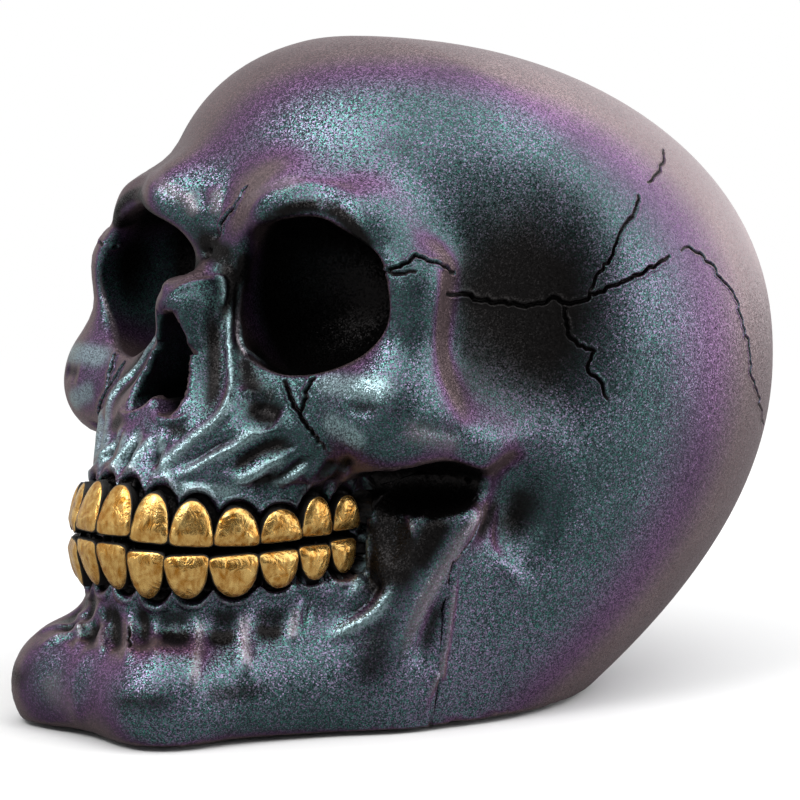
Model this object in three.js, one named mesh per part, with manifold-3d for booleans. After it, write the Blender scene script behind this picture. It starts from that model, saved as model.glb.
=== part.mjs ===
// Decorative skull ornament: a hollow cast skull with a bonded lower jaw, twenty-eight set teeth,
// a closing plate in the underside and four felt pads. Millimetres, +Z up, the face looks along -Y.
import * as THREE from "three";
import { mergeVertices } from "three/addons/utils/BufferGeometryUtils.js";
import ManifoldModule from "manifold-3d";

// Fits
const FIT_GAP = 0.3; // clearance round every seated piece
const PAD_STAND = 1; // felt that shows below the castings
const OVERRUN = 10; // how far a cutter runs past the surface that it opens

// Braincase
const CRANIUM_HALF_WIDTH = 60;
const CRANIUM_HALF_LENGTH = 64;
const CRANIUM_BACK_SET = 15; // centre of the widest level behind the origin
const WIDEST_LEVEL = 62;
const CROWN_LEVEL = 125.5;
const CROWN_LEAN = 17; // how far the crown leans forward
const BASE_LEAN = 30; // how far the underside leans forward
const BASE_TAPER = 0.25; // share of the width that the underside loses
const CROWN_FULLNESS = 2.35; // 2 is a plain ellipse
const REAR_DROP = 0.11; // how much lower the crown runs towards the back

// Face
const BROW_LEVEL = 93.5;
const BROW_FRONT = 46; // brow ridge in front of the origin
const BROW_RADIUS = 6.5;
const BROW_MIDDLE_LEVEL = 89; // dip of the brow between the eye sockets
const BROW_MIDDLE_FRONT = 41.5;
const BROW_MIDDLE_RADIUS = 5.5;
const BROW_BEND = 7; // bends of the brow either side of the middle of each eye socket
const BROW_OUTER_LEVEL = 91.5;
const BROW_OUTER_FRONT = 41;
const ORBIT_HALF_WIDTH = 17.5;
const ORBIT_HALF_HEIGHT = 15.4;
const ORBIT_DEPTH = 20;
const ORBIT_SPACING = 22.3; // each eye socket from the middle plane
const ORBIT_FRONT = 43.5;
const ORBIT_LEVEL = 79.2;
const ORBIT_YAW = 12; // degrees that each socket faces outwards
const ORBIT_ROLL = 2; // degrees that its outer end is raised
const ORBIT_POINT = 0.2; // share of its height that it loses outwards and gains inwards
const PILLAR_SPACING = 39.5; // outer edge of the eye socket from the middle plane
const PILLAR_FRONT = 38.5;
const PILLAR_LEVEL = 81.5;
const PILLAR_RADIUS = 6;
const PILLAR_FOOT_FRONT = 40.5;
const PILLAR_FOOT_LEVEL = 66;
const UNDER_EYE_SPACING = 6; // inner end of the lower edge of the eye socket
const UNDER_EYE_FRONT = 51;
const UNDER_EYE_LEVEL = 69;
const UNDER_EYE_RADIUS = 6.5;
const CHEEK_LEVEL = 59;
const CHEEK_FRONT = 43;
const CHEEK_SPACING = 35.5;
const CHEEK_RADII = [10, 10, 9];
const CHEEK_ARCH_FRONT = 42.5; // front end of the bar from the cheek to the ear
const CHEEK_ARCH_LEVEL = 57;
const CHEEK_ARCH_RADIUS = 7;
const CHEEK_ARCH_INSET = 13; // its rear end from the side of the braincase
const CHEEK_ARCH_END_FRONT = 17;
const CHEEK_ARCH_END_LEVEL = 55;
const CHEEK_ARCH_END_RADIUS = 5;
const NOSE_ROOT_LEVEL = 83; // upper end of the nose bone
const NOSE_ROOT_FRONT = 44.5;
const NOSE_ROOT_RADIUS = 4.5;
const NOSE_TIP_LEVEL = 76.5;
const NOSE_TIP_FRONT = 58;
const NOSE_TIP_RADIUS = 5.5;
const NOSE_FOOT_LEVEL = 60; // lower end of the sides of the nose
const NOSE_FOOT_FRONT = 57;
const NOSE_FOOT_RADIUS = 8;
const NOSE_PEAK_LEVEL = 76.5; // upper end of the nasal opening
const NOSE_BASE_LEVEL = 58; // lower edge of the nasal opening
const NOSE_HALF_WIDTH = 6.6;
const NOSE_DEPTH = 12; // behind the front of the nose bone
const SEPTUM = 1.5; // wall between the nasal opening and the eye sockets
const MAXILLA_RADII = [30, 22, 14];
const MAXILLA_FRONT = 45;
const MAXILLA_LEVEL = 54;
const SIDE_YAW = -45; // degrees that the hollows of the side are turned
const TEMPLE_CENTRE = [58.7, -26.2, 76.5];
const TEMPLE_RADII = [14, 17.5, 25];
const TEMPLE_FADE = [12, 30]; // its edge softens between these places along the side
const TEMPLE_TOP = [88, 104]; // and between these levels
const CHEEK_HOLLOW_CENTRE = [40.3, -37.5, 45.5];
const CHEEK_HOLLOW_RADII = [9, 11.5, 5];
const EAR_HOLLOW_CENTRE = [51.3, -23, 41];
const EAR_HOLLOW_RADII = [7, 6, 9];
const SOFT_BLEND = 10; // rounding where broad forms run together
const FIRM_BLEND = 6; // rounding where bars of bone meet
const RIM_BLEND = 3; // rounding of crisp edges

// Dental arch
const ARCH_HALF_WIDTH = 27.5;
const ARCH_HALF_LENGTH = 44;
const ARCH_CENTRE = 36; // centre of the arch in front of the origin
const BITE_LEVEL = 37; // bite line at the front teeth
const BITE_SAG = 2.3; // how far the bite line dips halfway along the row
const GUM_HEIGHT = 9; // gum line above and below the bite
const UPPER_LEAN = 0.4; // slope of the front teeth and gum, backwards from the bite upwards
const LOWER_LEAN = 0.3; // and downwards
const GUM_TAPER_HEIGHT = 51; // height above its line at which the upper gum would run to a point
const GUM_RISE = 17; // height of the upper gum above its line
const TROUGH_WIDTH = 10; // space kept free outside the gum wall
const TROUGH_END = -7.5; // its rear end along the side
const BITE_GAP = 1.4; // dark gap between the tooth rows
const EDGE_FREE = 3; // height of each tooth that stands free of the gum at the bite
const GROOVE_CLEARANCE = 1; // space behind the free edges of the teeth
const TOOTH_PROUD = 2.2; // tooth face in front of the gum
const TOOTH_SPACE = 1; // gap between neighbouring teeth
const TOOTH_DEPTH = 6; // front to back
const TOOTH_ROOT = 2; // height seated beyond the gum line
const TOOTH_TAPER = 0.2; // share of its width that a tooth loses from the bite to the root
const TOOTH_WEDGE = 0.42; // share of its width that a tooth loses from front to back
const BITE_SQUARENESS = 6; // rounding of the half at the bite: 2 is a ball, more is closer to a block
const ROOT_SQUARENESS = 3.2; // and of the half at the root

// One side of each row, from the middle tooth to the back: angle round the arch in degrees
// at the middle of the tooth, its share of the arch in degrees, and the height that shows.
const UPPER_ROW = [
  { angle: 7.7, spread: 15.4, height: 8.3 },
  { angle: 22.1, spread: 13.4, height: 8.2 },
  { angle: 35.4, spread: 13.2, height: 7.6 },
  { angle: 48.3, spread: 12.6, height: 6.3 },
  { angle: 60.3, spread: 11.4, height: 5.3 },
  { angle: 70.3, spread: 8.6, height: 6.6 },
  { angle: 78.6, spread: 8, height: 5.8 },
];
const LOWER_ROW = [
  { angle: 6.9, spread: 13.8, height: 8 },
  { angle: 20.4, spread: 13.2, height: 8.2 },
  { angle: 33.8, spread: 13.6, height: 7.4 },
  { angle: 47.5, spread: 13.8, height: 7 },
  { angle: 59.8, spread: 10.8, height: 6.1 },
  { angle: 69.6, spread: 8.8, height: 5.7 },
  { angle: 77.8, spread: 7.6, height: 5.5 },
];

// Lower jaw
const CHIN_FRONT = 77;
const CHIN_HALF_WIDTH = 13;
const CHIN_LEVEL = 8;
const CHIN_RADIUS = 10;
const CHIN_CORNER_FRONT = 76;
const CHIN_CORNER_LEVEL = 7;
const JAW_CORNER_SPACING = 29;
const JAW_CORNER_FRONT = 38;
const JAW_CORNER_LEVEL = 9;
const JAW_CORNER_RADIUS = 11;
const RAMUS_TOP_SPACING = 44;
const RAMUS_TOP_FRONT = 27;
const RAMUS_TOP_LEVEL = 51;
const RAMUS_RADIUS = 6;
const RAMUS_INNER = 26; // inner side of each branch from the middle plane
const MOUTH_BACK = 42; // where the two branches part, in front of the origin
const JAW_FOOT_FRONT = 36; // rear edge of the branch at the underside, in front of the origin
const JAW_BEND_FRONT = 34.5; // and at the height where the edge turns back
const JAW_BEND_LEVEL = 31;
const SEAM_SHOULDER_FRONT = 37; // where the seam over the branch starts to rise
const SEAM_SHOULDER_LEVEL = 43;
const SEAM_TOP_DROP = 3.3; // top of the seam below the top of the hollow under the cheek
const SEAM_TOP_FRONT = 31; // front and rear ends of the top of the seam
const SEAM_TOP_BACK = 24;

// Hollow and underside
const WALL = 7;
const HOLLOW_FRONT = 22; // front end of the hollow in front of the origin
const PLATE_RIM = 4; // casting left outside the closing plate
const PLATE_FRONT = 28; // straight front edge of the closing plate
const PLATE_THICKNESS = 3;
const PAD_RADIUS = 6;
const PAD_THICKNESS = 2;
const FRONT_PAD_INSET = 1; // pads under the chin from its corners
const FRONT_PAD_SETBACK = 7; // and behind its front
const REAR_PAD_INSET = 17; // pads under the plate from its sides
const REAR_PAD_SETBACK = 21; // and in front of its rear end

// Facet sizes
const FACE_STEP = 4.6;
const REAR_STEP = 13;
const HOLLOW_STEP = 10;
const FACE_DEPTH = 20; // how far behind the brow the fine facets reach
const ORBIT_SIDES = 28;
const ORBIT_RINGS = 18;
const ARCH_SIDES = 48;
const TOOTH_DIVISIONS = [4, 2, 4];
const PLATE_SIDES = 40;
const PAD_SIDES = 28;

const radians = THREE.MathUtils.degToRad;
const length3 = (x, y, z) => Math.sqrt(x * x + y * y + z * z);

// Signed distance, close to the surface, to an ellipsoid rolled about Y and then turned about Z,
// both in degrees.
function ellipsoid(p, centre, radii, yaw = 0, roll = 0) {
  const dx = p[0] - centre[0];
  const dy = p[1] - centre[1];
  const dz = p[2] - centre[2];
  const c = Math.cos(radians(yaw));
  const s = Math.sin(radians(yaw));
  const cr = Math.cos(radians(roll));
  const sr = Math.sin(radians(roll));
  const across = dx * c + dy * s;
  const x = (across * cr + dz * sr) / radii[0];
  const y = (dy * c - dx * s) / radii[1];
  const z = (dz * cr - across * sr) / radii[2];
  const reach = length3(x, y, z);
  const slope = length3(x / radii[0], y / radii[1], z / radii[2]);
  return slope < 1e-9 ? -Math.min(...radii) : (reach * (reach - 1)) / slope;
}

// Signed distance to a limb: a rounded bar from a to b whose radius changes along it.
function limb(p, a, b, radiusA, radiusB) {
  const along = [b[0] - a[0], b[1] - a[1], b[2] - a[2]];
  const from = [p[0] - a[0], p[1] - a[1], p[2] - a[2]];
  const dot = from[0] * along[0] + from[1] * along[1] + from[2] * along[2];
  const t = THREE.MathUtils.clamp(dot / (along[0] ** 2 + along[1] ** 2 + along[2] ** 2), 0, 1);
  const off = length3(from[0] - t * along[0], from[1] - t * along[1], from[2] - t * along[2]);
  return off - (radiusA + (radiusB - radiusA) * t);
}

// Signed distance, close to the edge, to an ellipse in plan.
function oval(x, y, halfWidth, halfLength) {
  const reach = Math.hypot(x / halfWidth, y / halfLength);
  const slope = Math.hypot(x / halfWidth ** 2, y / halfLength ** 2);
  return slope < 1e-9 ? -Math.min(halfWidth, halfLength) : (reach * (reach - 1)) / slope;
}

// Joins two forms, or carves one from another, with a rounded transition of the given size.
function blend(a, b, size) {
  const h = Math.max(size - Math.abs(a - b), 0) / size;
  return Math.min(a, b) - h * h * size * 0.25;
}
const carve = (a, b, size) => -blend(-a, b, size);

// How far a place lies along the side of the head, from the face towards the ear.
const alongSide = (x, y) => (x + y) * Math.SQRT1_2;

// Braincase: a stack of ovals that leans forward above and below its widest level.
function braincase(x, y, z) {
  const rise = z - WIDEST_LEVEL;
  const above = rise > 0;
  const reach = above ? CROWN_LEVEL - WIDEST_LEVEL : WIDEST_LEVEL - PAD_STAND;
  const t = Math.abs(rise) / reach;
  const centre = CRANIUM_BACK_SET - (above ? CROWN_LEAN : BASE_LEAN) * t * t;
  const u = x / CRANIUM_HALF_WIDTH;
  const v = (y - centre) / CRANIUM_HALF_LENGTH;
  const ring = Math.max(Math.hypot(u, v), 1e-6);
  const slope = Math.hypot(u / CRANIUM_HALF_WIDTH, v / CRANIUM_HALF_LENGTH) / ring;
  if (!above) {
    return (ring - (1 - BASE_TAPER * t ** 2.2)) / slope;
  }
  const n = CROWN_FULLNESS;
  const height = t * (1 + REAR_DROP * THREE.MathUtils.clamp(v, -0.2, 1));
  const f = (ring ** n + height ** n) ** (1 / n);
  const across = (ring / f) ** (n - 1) * slope;
  const upward = (height / f) ** (n - 1) / reach;
  return (f - 1) / Math.max(Math.hypot(across, upward), 1 / (2 * CRANIUM_HALF_WIDTH));
}

// How far the front of the gums lies behind the bite line at a height.
function gumSetback(z) {
  const lean = z > BITE_LEVEL ? UPPER_LEAN : LOWER_LEAN;
  return lean * Math.min(Math.abs(z - BITE_LEVEL), GUM_HEIGHT);
}

// The whole ornament as one form, jaw and face included, without its teeth. Negative inside.
function skullForm(xSigned, y, z) {
  const x = Math.abs(xSigned);
  const p = [x, y, z];
  let d = braincase(x, y, z);

  // Brow ridge from the middle out to the corner of the eye socket
  const browMiddle = [0, -BROW_MIDDLE_FRONT, BROW_MIDDLE_LEVEL];
  const browInner = [ORBIT_SPACING - BROW_BEND, -BROW_FRONT, BROW_LEVEL];
  const browOuter = [ORBIT_SPACING + BROW_BEND, -BROW_OUTER_FRONT, BROW_OUTER_LEVEL];
  const browEnd = [PILLAR_SPACING, -PILLAR_FRONT, PILLAR_LEVEL];
  let brow = limb(p, browMiddle, browInner, BROW_MIDDLE_RADIUS, BROW_RADIUS);
  brow = blend(brow, limb(p, browInner, browOuter, BROW_RADIUS, PILLAR_RADIUS), FIRM_BLEND);
  brow = blend(brow, limb(p, browOuter, browEnd, PILLAR_RADIUS, PILLAR_RADIUS), FIRM_BLEND);
  d = blend(d, brow, SOFT_BLEND);

  // Outer pillar of the eye socket, cheekbone and cheek arch
  const pillarFoot = [PILLAR_SPACING, -PILLAR_FOOT_FRONT, PILLAR_FOOT_LEVEL];
  const cheek = [CHEEK_SPACING, -CHEEK_FRONT, CHEEK_LEVEL];
  const archStart = [PILLAR_SPACING, -CHEEK_ARCH_FRONT, CHEEK_ARCH_LEVEL];
  const archEnd = [CRANIUM_HALF_WIDTH - CHEEK_ARCH_INSET, -CHEEK_ARCH_END_FRONT, CHEEK_ARCH_END_LEVEL];
  d = blend(d, limb(p, browEnd, pillarFoot, PILLAR_RADIUS, PILLAR_RADIUS), FIRM_BLEND);
  d = blend(d, ellipsoid(p, cheek, CHEEK_RADII), SOFT_BLEND);
  d = blend(d, limb(p, archStart, archEnd, CHEEK_ARCH_RADIUS, CHEEK_ARCH_END_RADIUS), SOFT_BLEND);

  // Temple: crisp behind the eye socket and soft towards the back and the crown
  const toBack = THREE.MathUtils.smoothstep(alongSide(x, y), ...TEMPLE_FADE);
  const toCrown = THREE.MathUtils.smoothstep(z, ...TEMPLE_TOP);
  const temple = ellipsoid(p, TEMPLE_CENTRE, TEMPLE_RADII, SIDE_YAW);
  d = carve(d, temple, RIM_BLEND + SOFT_BLEND * (1 - (1 - toBack) * (1 - toCrown)));

  // Upper jaw, lower edge of the eye socket and nose
  const maxilla = [0, -MAXILLA_FRONT, MAXILLA_LEVEL];
  const underEye = [UNDER_EYE_SPACING, -UNDER_EYE_FRONT, UNDER_EYE_LEVEL];
  const noseRoot = [0, -NOSE_ROOT_FRONT, NOSE_ROOT_LEVEL];
  const noseTip = [0, -NOSE_TIP_FRONT, NOSE_TIP_LEVEL];
  const noseFoot = [0, -NOSE_FOOT_FRONT, NOSE_FOOT_LEVEL];
  d = blend(d, ellipsoid(p, maxilla, MAXILLA_RADII), SOFT_BLEND);
  d = blend(d, limb(p, underEye, cheek, UNDER_EYE_RADIUS, UNDER_EYE_RADIUS), FIRM_BLEND);
  const bridge = limb(p, noseRoot, noseTip, NOSE_ROOT_RADIUS, NOSE_TIP_RADIUS);
  const noseSides = limb(p, noseTip, noseFoot, NOSE_TIP_RADIUS, NOSE_FOOT_RADIUS);
  d = blend(d, blend(bridge, noseSides, RIM_BLEND), FIRM_BLEND);

  // Gums: an oval wall that draws in above the tooth roots towards the nose
  const gumTop = BITE_LEVEL + GUM_HEIGHT;
  const draw = 1 - Math.max(0, z - gumTop) / GUM_TAPER_HEIGHT;
  const setback = gumSetback(z);
  const wall = oval(x, y + ARCH_CENTRE, ARCH_HALF_WIDTH * draw, ARCH_HALF_LENGTH * draw - setback);
  d = blend(d, Math.max(wall, z - gumTop - GUM_RISE), SOFT_BLEND);

  // Lower jaw: chin bar, body and the branch that rises to the cheek arch
  const chin = [0, -CHIN_FRONT, CHIN_LEVEL];
  const chinEnd = [CHIN_HALF_WIDTH, -CHIN_CORNER_FRONT, CHIN_CORNER_LEVEL];
  const corner = [JAW_CORNER_SPACING, -JAW_CORNER_FRONT, JAW_CORNER_LEVEL];
  const ramusTop = [RAMUS_TOP_SPACING, -RAMUS_TOP_FRONT, RAMUS_TOP_LEVEL];
  let jaw = limb(p, chin, chinEnd, CHIN_RADIUS, CHIN_RADIUS);
  jaw = blend(jaw, limb(p, chinEnd, corner, CHIN_RADIUS, JAW_CORNER_RADIUS), FIRM_BLEND);
  jaw = blend(jaw, limb(p, corner, ramusTop, JAW_CORNER_RADIUS, RAMUS_RADIUS), FIRM_BLEND);
  d = blend(d, jaw, FIRM_BLEND);

  // Hollow below the cheek, and the ear hollow behind the jaw
  d = carve(d, ellipsoid(p, CHEEK_HOLLOW_CENTRE, CHEEK_HOLLOW_RADII, SIDE_YAW), RIM_BLEND);
  d = carve(d, ellipsoid(p, EAR_HOLLOW_CENTRE, EAR_HOLLOW_RADII, SIDE_YAW), FIRM_BLEND);

  // Trough along the tooth rows, so that the gum wall stays clear of the cheek and jaw
  const arch = oval(x, y + ARCH_CENTRE, ARCH_HALF_WIDTH, ARCH_HALF_LENGTH - setback);
  const beside = Math.max(-arch, arch - TROUGH_WIDTH, alongSide(x, y) - TROUGH_END);
  const trough = Math.max(beside, Math.abs(z - BITE_LEVEL) - GUM_HEIGHT);
  return carve(d, trough, RIM_BLEND);
}

// The eye sockets, left and right: their side, centre, radii, yaw and roll in degrees.
const ORBITS = [1, -1].map((side) => ({
  side,
  centre: [side * ORBIT_SPACING, -ORBIT_FRONT, ORBIT_LEVEL],
  radii: [ORBIT_HALF_WIDTH, ORBIT_DEPTH, ORBIT_HALF_HEIGHT],
  yaw: side * ORBIT_YAW,
  roll: side * ORBIT_ROLL,
}));

// Lattice coordinates from one end to the other, close together up to a point and wider beyond it.
function graded(from, to, fine, until, coarse) {
  const ticks = [from];
  while (ticks[ticks.length - 1] < to) {
    const last = ticks[ticks.length - 1];
    const share = THREE.MathUtils.clamp((last - until) / (4 * coarse), 0, 1);
    ticks.push(last + fine + (coarse - fine) * share);
  }
  return ticks;
}

// The same spacing on both sides of zero, with lattice planes half a step off the middle.
function mirrored(reach, step) {
  const count = Math.ceil(reach / step) + 1;
  return Array.from({ length: 2 * count }, (_, i) => (i - count + 0.5) * step);
}

// Draws a point onto the surface of a form, by no more than the limit.
function settle(form, point, limit) {
  const h = 0.05;
  const start = [...point];
  for (let round = 0; round < 4; round++) {
    const [x, y, z] = point;
    const value = form(x, y, z);
    const gx = (form(x + h, y, z) - form(x - h, y, z)) / (2 * h);
    const gy = (form(x, y + h, z) - form(x, y - h, z)) / (2 * h);
    const gz = (form(x, y, z + h) - form(x, y, z - h)) / (2 * h);
    const steep = Math.max(gx * gx + gy * gy + gz * gz, 0.05);
    point = [x - (value * gx) / steep, y - (value * gy) / steep, z - (value * gz) / steep];
  }
  const moved = length3(point[0] - start[0], point[1] - start[1], point[2] - start[2]);
  return moved > limit ? start : point;
}

// Closed surface of a form: one vertex in each lattice cell that the surface crosses, and two
// triangles across each lattice edge that it cuts.
function surface(form, xs, ys, zs) {
  const sizes = [xs.length, ys.length, zs.length];
  const axes = [xs, ys, zs];
  const strides = [1, sizes[0], sizes[0] * sizes[1]];
  const at = (c) => c[0] + c[1] * strides[1] + c[2] * strides[2];
  const values = new Float64Array(sizes[0] * sizes[1] * sizes[2]);
  const each = (margin, visit) => {
    for (let k = margin; k < sizes[2] - 1; k++) {
      for (let j = margin; j < sizes[1] - 1; j++) {
        for (let i = margin; i < sizes[0] - 1; i++) {
          visit([i, j, k]);
        }
      }
    }
  };
  zs.forEach((z, k) => ys.forEach((y, j) => xs.forEach((x, i) => {
    values[at([i, j, k])] = form(x, y, z);
  })));

  const vertexOf = new Int32Array(values.length).fill(-1);
  const positions = [];
  each(0, (cell) => {
    const sum = [0, 0, 0];
    let crossings = 0;
    for (let corner = 0; corner < 8; corner++) {
      const a = cell.map((c, axis) => c + ((corner >> axis) & 1));
      for (let axis = 0; axis < 3; axis++) {
        const here = values[at(a)];
        const there = values[at(a) + strides[axis]];
        if ((corner >> axis) & 1 || here < 0 === there < 0) continue;
        const t = here / (here - there);
        a.forEach((c, n) => {
          sum[n] += axes[n][c] + (n === axis ? t * (axes[n][c + 1] - axes[n][c]) : 0);
        });
        crossings++;
      }
    }
    if (crossings === 0) return;
    vertexOf[at(cell)] = positions.length / 3;
    const limit = 0.5 * (axes[0][cell[0] + 1] - axes[0][cell[0]]);
    positions.push(...settle(form, sum.map((s) => s / crossings), limit));
  });

  const triangles = [];
  const vertex = (i) => positions.slice(3 * i, 3 * i + 3);
  const apart = (a, b) => length3(...vertex(a).map((c, n) => c - vertex(b)[n]));
  each(1, (cell) => {
    for (let axis = 0; axis < 3; axis++) {
      const inside = values[at(cell)] < 0;
      if (inside === values[at(cell) + strides[axis]] < 0) continue;
      const u = strides[(axis + 1) % 3];
      const v = strides[(axis + 2) % 3];
      const ring = [0, u, u + v, v].map((back) => vertexOf[at(cell) - back]);
      const [a, b, c, d] = inside ? ring : ring.reverse();
      if (apart(a, c) < apart(b, d)) {
        triangles.push(a, b, c, a, c, d);
      } else {
        triangles.push(a, b, d, b, c, d);
      }
    }
  });
  const geometry = new THREE.BufferGeometry();
  geometry.setAttribute("position", new THREE.Float32BufferAttribute(positions, 3));
  geometry.setIndex(triangles);
  return geometry;
}

const kernel = await ManifoldModule();
kernel.setup();
const { Manifold, Mesh: SolidMesh } = kernel;

// A three.js geometry as a solid that can be joined and cut.
function solid(geometry) {
  const bare = new THREE.BufferGeometry();
  bare.setAttribute("position", geometry.getAttribute("position"));
  bare.setIndex(geometry.getIndex());
  const merged = mergeVertices(bare, 1e-4);
  const mesh = new SolidMesh({
    numProp: 3,
    vertProperties: new Float32Array(merged.getAttribute("position").array),
    triVerts: new Uint32Array(merged.getIndex().array),
  });
  return Manifold.ofMesh(mesh);
}

// A named node from a solid.
function node(name, body, material) {
  const mesh = body.getMesh();
  const geometry = new THREE.BufferGeometry();
  geometry.setAttribute("position", new THREE.Float32BufferAttribute(mesh.vertProperties, 3));
  geometry.setIndex(Array.from(mesh.triVerts));
  geometry.computeVertexNormals();
  const part = new THREE.Mesh(geometry, material);
  part.name = name;
  return part;
}

// A block between two corners.
function block(low, high) {
  const size = high.map((h, n) => h - low[n]);
  const geometry = new THREE.BoxGeometry(...size);
  geometry.translate(...low.map((l, n) => l + size[n] / 2));
  return solid(geometry);
}

// An upright prism of a plan outline of [x, y] points.
function upright(outline, low, high) {
  const shape = new THREE.Shape(outline.map(([x, y]) => new THREE.Vector2(x, y)));
  const geometry = new THREE.ExtrudeGeometry(shape, { depth: high - low, bevelEnabled: false });
  geometry.translate(0, 0, low);
  return solid(geometry);
}

// A prism right across the part of a side outline of [y, z] points.
function crosswise(outline, reach) {
  const shape = new THREE.Shape(outline.map(([y, z]) => new THREE.Vector2(y, z)));
  const geometry = new THREE.ExtrudeGeometry(shape, { depth: 2 * reach, bevelEnabled: false });
  const turn = new THREE.Matrix4().makeBasis(
    new THREE.Vector3(0, 1, 0),
    new THREE.Vector3(0, 0, 1),
    new THREE.Vector3(1, 0, 0),
  );
  geometry.applyMatrix4(turn);
  geometry.translate(-reach, 0, 0);
  return solid(geometry);
}

// Height of the bite line at an angle round the dental arch.
const biteAt = (angle) => BITE_LEVEL - BITE_SAG * Math.sin(radians(2 * angle));

// A point on the arch wall, moved out by an offset.
function archPoint(angle, offset = 0) {
  const s = Math.sin(radians(angle));
  const c = Math.cos(radians(angle));
  const outward = new THREE.Vector2(s / ARCH_HALF_WIDTH, -c / ARCH_HALF_LENGTH).normalize();
  const onWall = new THREE.Vector2(ARCH_HALF_WIDTH * s, -ARCH_CENTRE - ARCH_HALF_LENGTH * c);
  return { point: onWall.addScaledVector(outward, offset), outward };
}

// The oval of the arch, moved out by an offset, as a plan outline.
function archOutline(offset) {
  const turns = Array.from({ length: ARCH_SIDES }, (_, i) => (i * 360) / ARCH_SIDES);
  return turns.map((angle) => archPoint(angle, offset).point.toArray());
}

// An eye socket as a cutter, grown all round: an egg whose pointed end is the outer one.
function orbitCutter(orbit, grow) {
  const geometry = new THREE.SphereGeometry(1, ORBIT_SIDES, ORBIT_RINGS);
  geometry.scale(...orbit.radii.map((radius) => radius + grow));
  geometry.rotateY(-radians(orbit.roll));
  geometry.rotateZ(radians(orbit.yaw));
  const points = geometry.getAttribute("position");
  for (let i = 0; i < points.count; i++) {
    const outwards = THREE.MathUtils.clamp((orbit.side * points.getX(i)) / ORBIT_HALF_WIDTH, -1, 1);
    points.setZ(i, points.getZ(i) * (1 - ORBIT_POINT * outwards));
  }
  geometry.translate(...orbit.centre);
  return solid(geometry);
}

// The nasal opening as a cutter: a pear outline, as shares of its half width and height, from its
// peak down the left side to the spine in the middle of its lower edge.
const NOSE_OUTLINE = [
  [0, 1],
  [0.3, 0.96],
  [0.55, 0.76],
  [0.8, 0.5],
  [0.97, 0.24],
  [0.98, 0.1],
  [0.82, 0],
  [0.5, 0],
  [0.2, 0.1],
  [0, 0.17],
];
function noseCutter() {
  const height = NOSE_PEAK_LEVEL - NOSE_BASE_LEVEL;
  const left = NOSE_OUTLINE.map(([across, up]) => new THREE.Vector2(
    across * NOSE_HALF_WIDTH,
    NOSE_BASE_LEVEL + up * height,
  ));
  const right = left.slice(1, -1).reverse().map((point) => new THREE.Vector2(-point.x, point.y));
  const shape = new THREE.Shape([...left, ...right]);
  const depth = NOSE_DEPTH + 2 * OVERRUN;
  const geometry = new THREE.ExtrudeGeometry(shape, { depth, bevelEnabled: false });
  geometry.rotateX(Math.PI / 2);
  geometry.translate(0, NOSE_DEPTH - NOSE_TIP_FRONT - NOSE_TIP_RADIUS, 0);
  return ORBITS.reduce((cutter, orbit) => cutter.subtract(orbitCutter(orbit, SEPTUM)), solid(geometry));
}

// A tooth on the arch: a block, rounder at its root, that narrows and leans towards its root.
// Side is 1 on the left of the face and -1 on the right, and grow widens it all round.
function tooth(entry, upper, side, grow) {
  const start = archPoint(entry.angle - entry.spread / 2).point;
  const end = archPoint(entry.angle + entry.spread / 2).point;
  const tall = entry.height + TOOTH_ROOT;
  const half = [
    (start.distanceTo(end) - TOOTH_SPACE) / 2 + grow,
    TOOTH_DEPTH / 2 + grow,
    tall / 2 + grow,
  ];
  const toRoot = upper ? 1 : -1;
  const { point, outward } = archPoint(side * entry.angle, TOOTH_PROUD - TOOTH_DEPTH / 2);
  const lean = (upper ? UPPER_LEAN : LOWER_LEAN) * Math.cos(radians(entry.angle)) * Math.abs(outward.y);
  const geometry = new THREE.BoxGeometry(2, 2, 2, ...TOOTH_DIVISIONS);
  const corners = geometry.getAttribute("position");
  for (let i = 0; i < corners.count; i++) {
    const at = new THREE.Vector3().fromBufferAttribute(corners, i);
    const squareness = at.z * toRoot > 0 ? ROOT_SQUARENESS : BITE_SQUARENESS;
    const powers = at.toArray().map((c) => Math.abs(c) ** squareness);
    const largest = Math.max(...at.toArray().map(Math.abs));
    at.multiplyScalar(largest * (powers[0] + powers[1] + powers[2]) ** (-1 / squareness));
    const narrow = 1 - TOOTH_TAPER * at.z * toRoot - TOOTH_WEDGE * (at.y + 1) * 0.5;
    const fromBite = at.z * half[2] * toRoot + tall / 2;
    corners.setXYZ(i, at.x * half[0] * narrow, at.y * half[1] + lean * fromBite, at.z * half[2]);
  }
  const middle = biteAt(entry.angle) + toRoot * (BITE_GAP / 2 + tall / 2);
  geometry.rotateZ(Math.atan2(outward.x, -outward.y));
  geometry.translate(point.x, point.y, middle);
  return solid(geometry);
}

// Angles along one side of the bite line, from the middle tooth to behind the last one.
const BITE_ANGLES = [0, 12, 24, 36, 48, 60, 72, 84];
const onBite = (angle) => [-ARCH_CENTRE - ARCH_HALF_LENGTH * Math.cos(radians(angle)), biteAt(angle)];
const FRONT_END = -CHIN_FRONT - CHIN_RADIUS - OVERRUN;

// The groove round the free edges of both tooth rows, open to the front.
function biteGroove() {
  const reach = BITE_GAP / 2 + EDGE_FREE;
  const back = TOOTH_DEPTH - TOOTH_PROUD + GROOVE_CLEARANCE;
  const line = [[FRONT_END, BITE_LEVEL], ...BITE_ANGLES.map(onBite)];
  const upperEdge = line.map(([y, z]) => [y, z + reach]);
  const lowerEdge = line.map(([y, z]) => [y, z - reach]);
  const band = crosswise([...lowerEdge, ...upperEdge.reverse()], CRANIUM_HALF_WIDTH);
  const outer = upright(archOutline(TOOTH_PROUD), 0, CROWN_LEVEL);
  const inner = upright(archOutline(-back), 0, CROWN_LEVEL);
  return band.intersect(outer.subtract(inner));
}

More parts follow.
